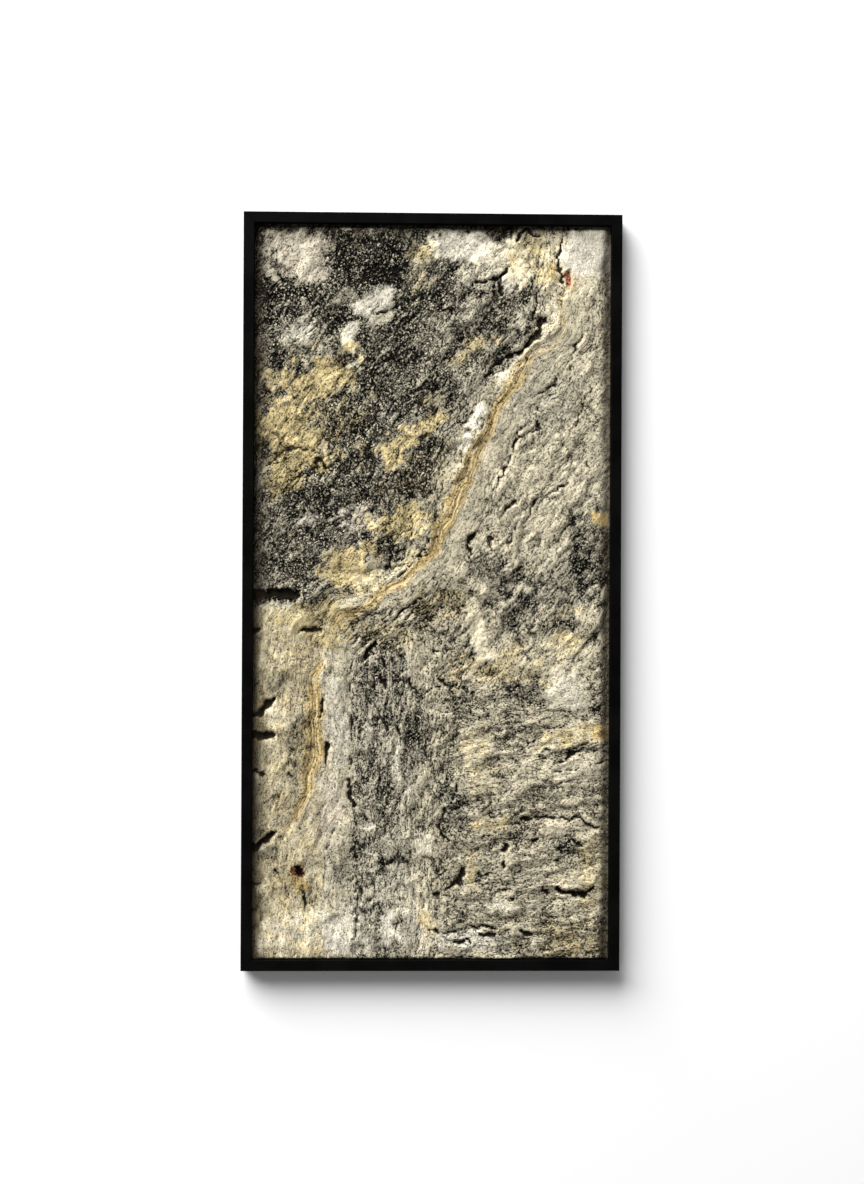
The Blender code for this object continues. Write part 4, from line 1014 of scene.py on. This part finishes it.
def makeFixings(finish):
    # Five screws through the rail, and clips round the board's edge.
    look = fixingLook
    spread = look["screwSpread"]
    places = np.linspace(-spread / 2, spread / 2, look["screws"])
    sweptPiece("rail_screws", [screwPoints(x) for x in places], True, finish)
    low, high = (np.array(corner) for corner in cadBox)
    low, high = low + look["rebate"], high - look["rebate"]
    clips = []
    for share in look["sideClips"]:
        z = low[2] + share * (high[2] - low[2])
        clips.append(clipPoints((low[0], 0, z), (1, 0, 0), (0, 0, 1)))
        clips.append(clipPoints((high[0], 0, z), (-1, 0, 0), (0, 0, 1)))
    for share in look["endClips"]:
        x = low[0] + share * (high[0] - low[0])
        clips.append(clipPoints((x, 0, low[2]), (0, 0, 1), (1, 0, 0)))
        clips.append(clipPoints((x, 0, high[2]), (0, 0, -1), (1, 0, 0)))
    sweptPiece("board_clips", clips, False, finish)


def dressNode(name, finish):
    # The CAD solid keeps its shape and wears this finish.
    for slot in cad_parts[name].material_slots:
        slot.material = finish


stageLook = {
    "cameraDistance": 3.0, "cameraLeft": 0.079, "roll": 0.25, "viewHeight": 1.873,
    "keyFrom": (-4.1, -4.95, 6.8), "keySize": (8.6, 7.4), "keyPower": 2120.0, "world": 0.24,
    "fillFrom": (1.6, 3.0, 1.4), "fillSize": 2.5, "fillPower": 70.0, "sensor": 36.0,
    "wall": (0.91, 0.91, 0.91, 1), "floor": (0.5, 0.495, 0.48, 1),
    "reach": 4, "floorLevel": -1.95, "wallTop": 2.4, "wallGap": 0.001,
}


def aim(obj, target, roll=0.0):
    # Turns a camera or light at the origin of its -Z axis towards a point.
    away = obj.location - target
    obj.rotation_euler = away.to_track_quat("Z", "Y").to_euler()
    obj.rotation_euler.rotate_axis("Z", math.radians(roll))


def flatSheet(name, corners, finish):
    mesh = bpy.data.meshes.new(name)
    mesh.from_pydata(corners, [], [(0, 1, 2, 3)])
    mesh.materials.append(finish)
    sheet = bpy.data.objects.new(name, mesh)
    bpy.context.scene.collection.objects.link(sheet)
    return sheet


def makeStage():
    # A white wall seen from its front only, a pale floor, one large key light and a soft fill.
    look = stageLook
    low, high = (Vector(corner) for corner in cadBox)
    middle = (low + high) / 2
    face = Vector((middle.x, low.y, middle.z))
    reach, ground, top, back = look["reach"], look["floorLevel"], look["wallTop"], high.y + look["wallGap"]
    material, start, shader = newFinish("wall white", {"Base Color": look["wall"], "Roughness": 1.0})
    shader.inputs["Specular IOR Level"].default_value = 0.0
    behind = start.add("NewGeometry", out="Backfacing")
    clear = start.add("BsdfTransparent")
    seen = start.add("MixShader", {}, {0: behind, 1: Wire(start.tree, shader.outputs[0]), 2: clear})
    output = start.tree.nodes["Material Output"]
    start.feed(output, {"Surface": seen})
    corners = [(-reach, ground), (reach, ground), (reach, top), (-reach, top)]
    wall = flatSheet("wall", [(x, back, z) for x, z in corners], material)
    for way in ("diffuse", "glossy", "transmission", "shadow", "volume_scatter"):
        setattr(wall, "visible_" + way, False)
    material, start, shader = newFinish("pale floor", {"Base Color": look["floor"], "Roughness": 0.8})
    corners = [(-reach, -reach), (reach, -reach), (reach, reach), (-reach, reach)]
    floor = flatSheet("floor", [(x, y, ground) for x, y in corners], material)
    floor.visible_diffuse = False
    key = bpy.data.objects.new("key light", bpy.data.lights.new("key light", "AREA"))
    key.data.shape, key.data.energy = "RECTANGLE", look["keyPower"]
    key.data.size, key.data.size_y = look["keySize"]
    key.location = face + Vector(look["keyFrom"])
    aim(key, face)
    fill = bpy.data.objects.new("back fill", bpy.data.lights.new("back fill", "AREA"))
    fill.data.size, fill.data.energy = look["fillSize"], look["fillPower"]
    fill.location = face + Vector(look["fillFrom"])
    aim(fill, face)
    camera = bpy.data.objects.new("camera", bpy.data.cameras.new("camera"))
    camera.data.sensor_width = camera.data.sensor_height = look["sensor"]
    camera.data.sensor_fit = "VERTICAL"
    camera.data.lens = look["sensor"] * look["cameraDistance"] / look["viewHeight"]
    camera.location = face + Vector((-look["cameraLeft"], -look["cameraDistance"], 0.0))
    aim(camera, face, look["roll"])
    for obj in (key, fill, camera):
        bpy.context.scene.collection.objects.link(obj)
    bpy.context.scene.camera = camera
    world = bpy.data.worlds.new("room")
    world.use_nodes = True
    light = world.node_tree.nodes["Background"]
    light.inputs["Color"].default_value = (1, 1, 1, 1)
    light.inputs["Strength"].default_value = look["world"]
    bpy.context.scene.world = world
    bpy.context.scene.view_settings.view_transform = "Standard"
    print("stage set")


makeRock(rockFinish())
lacquer = lacquerFinish()
for side in ("top", "right", "bottom", "left"):
    dressNode("frame_rail_" + side, lacquer)
dressNode("backing_board", boardFinish())
metal = railFinish()
dressNode("hanging_rail", metal)
print("finishes on")
makeFixings(metal)
makeStage()
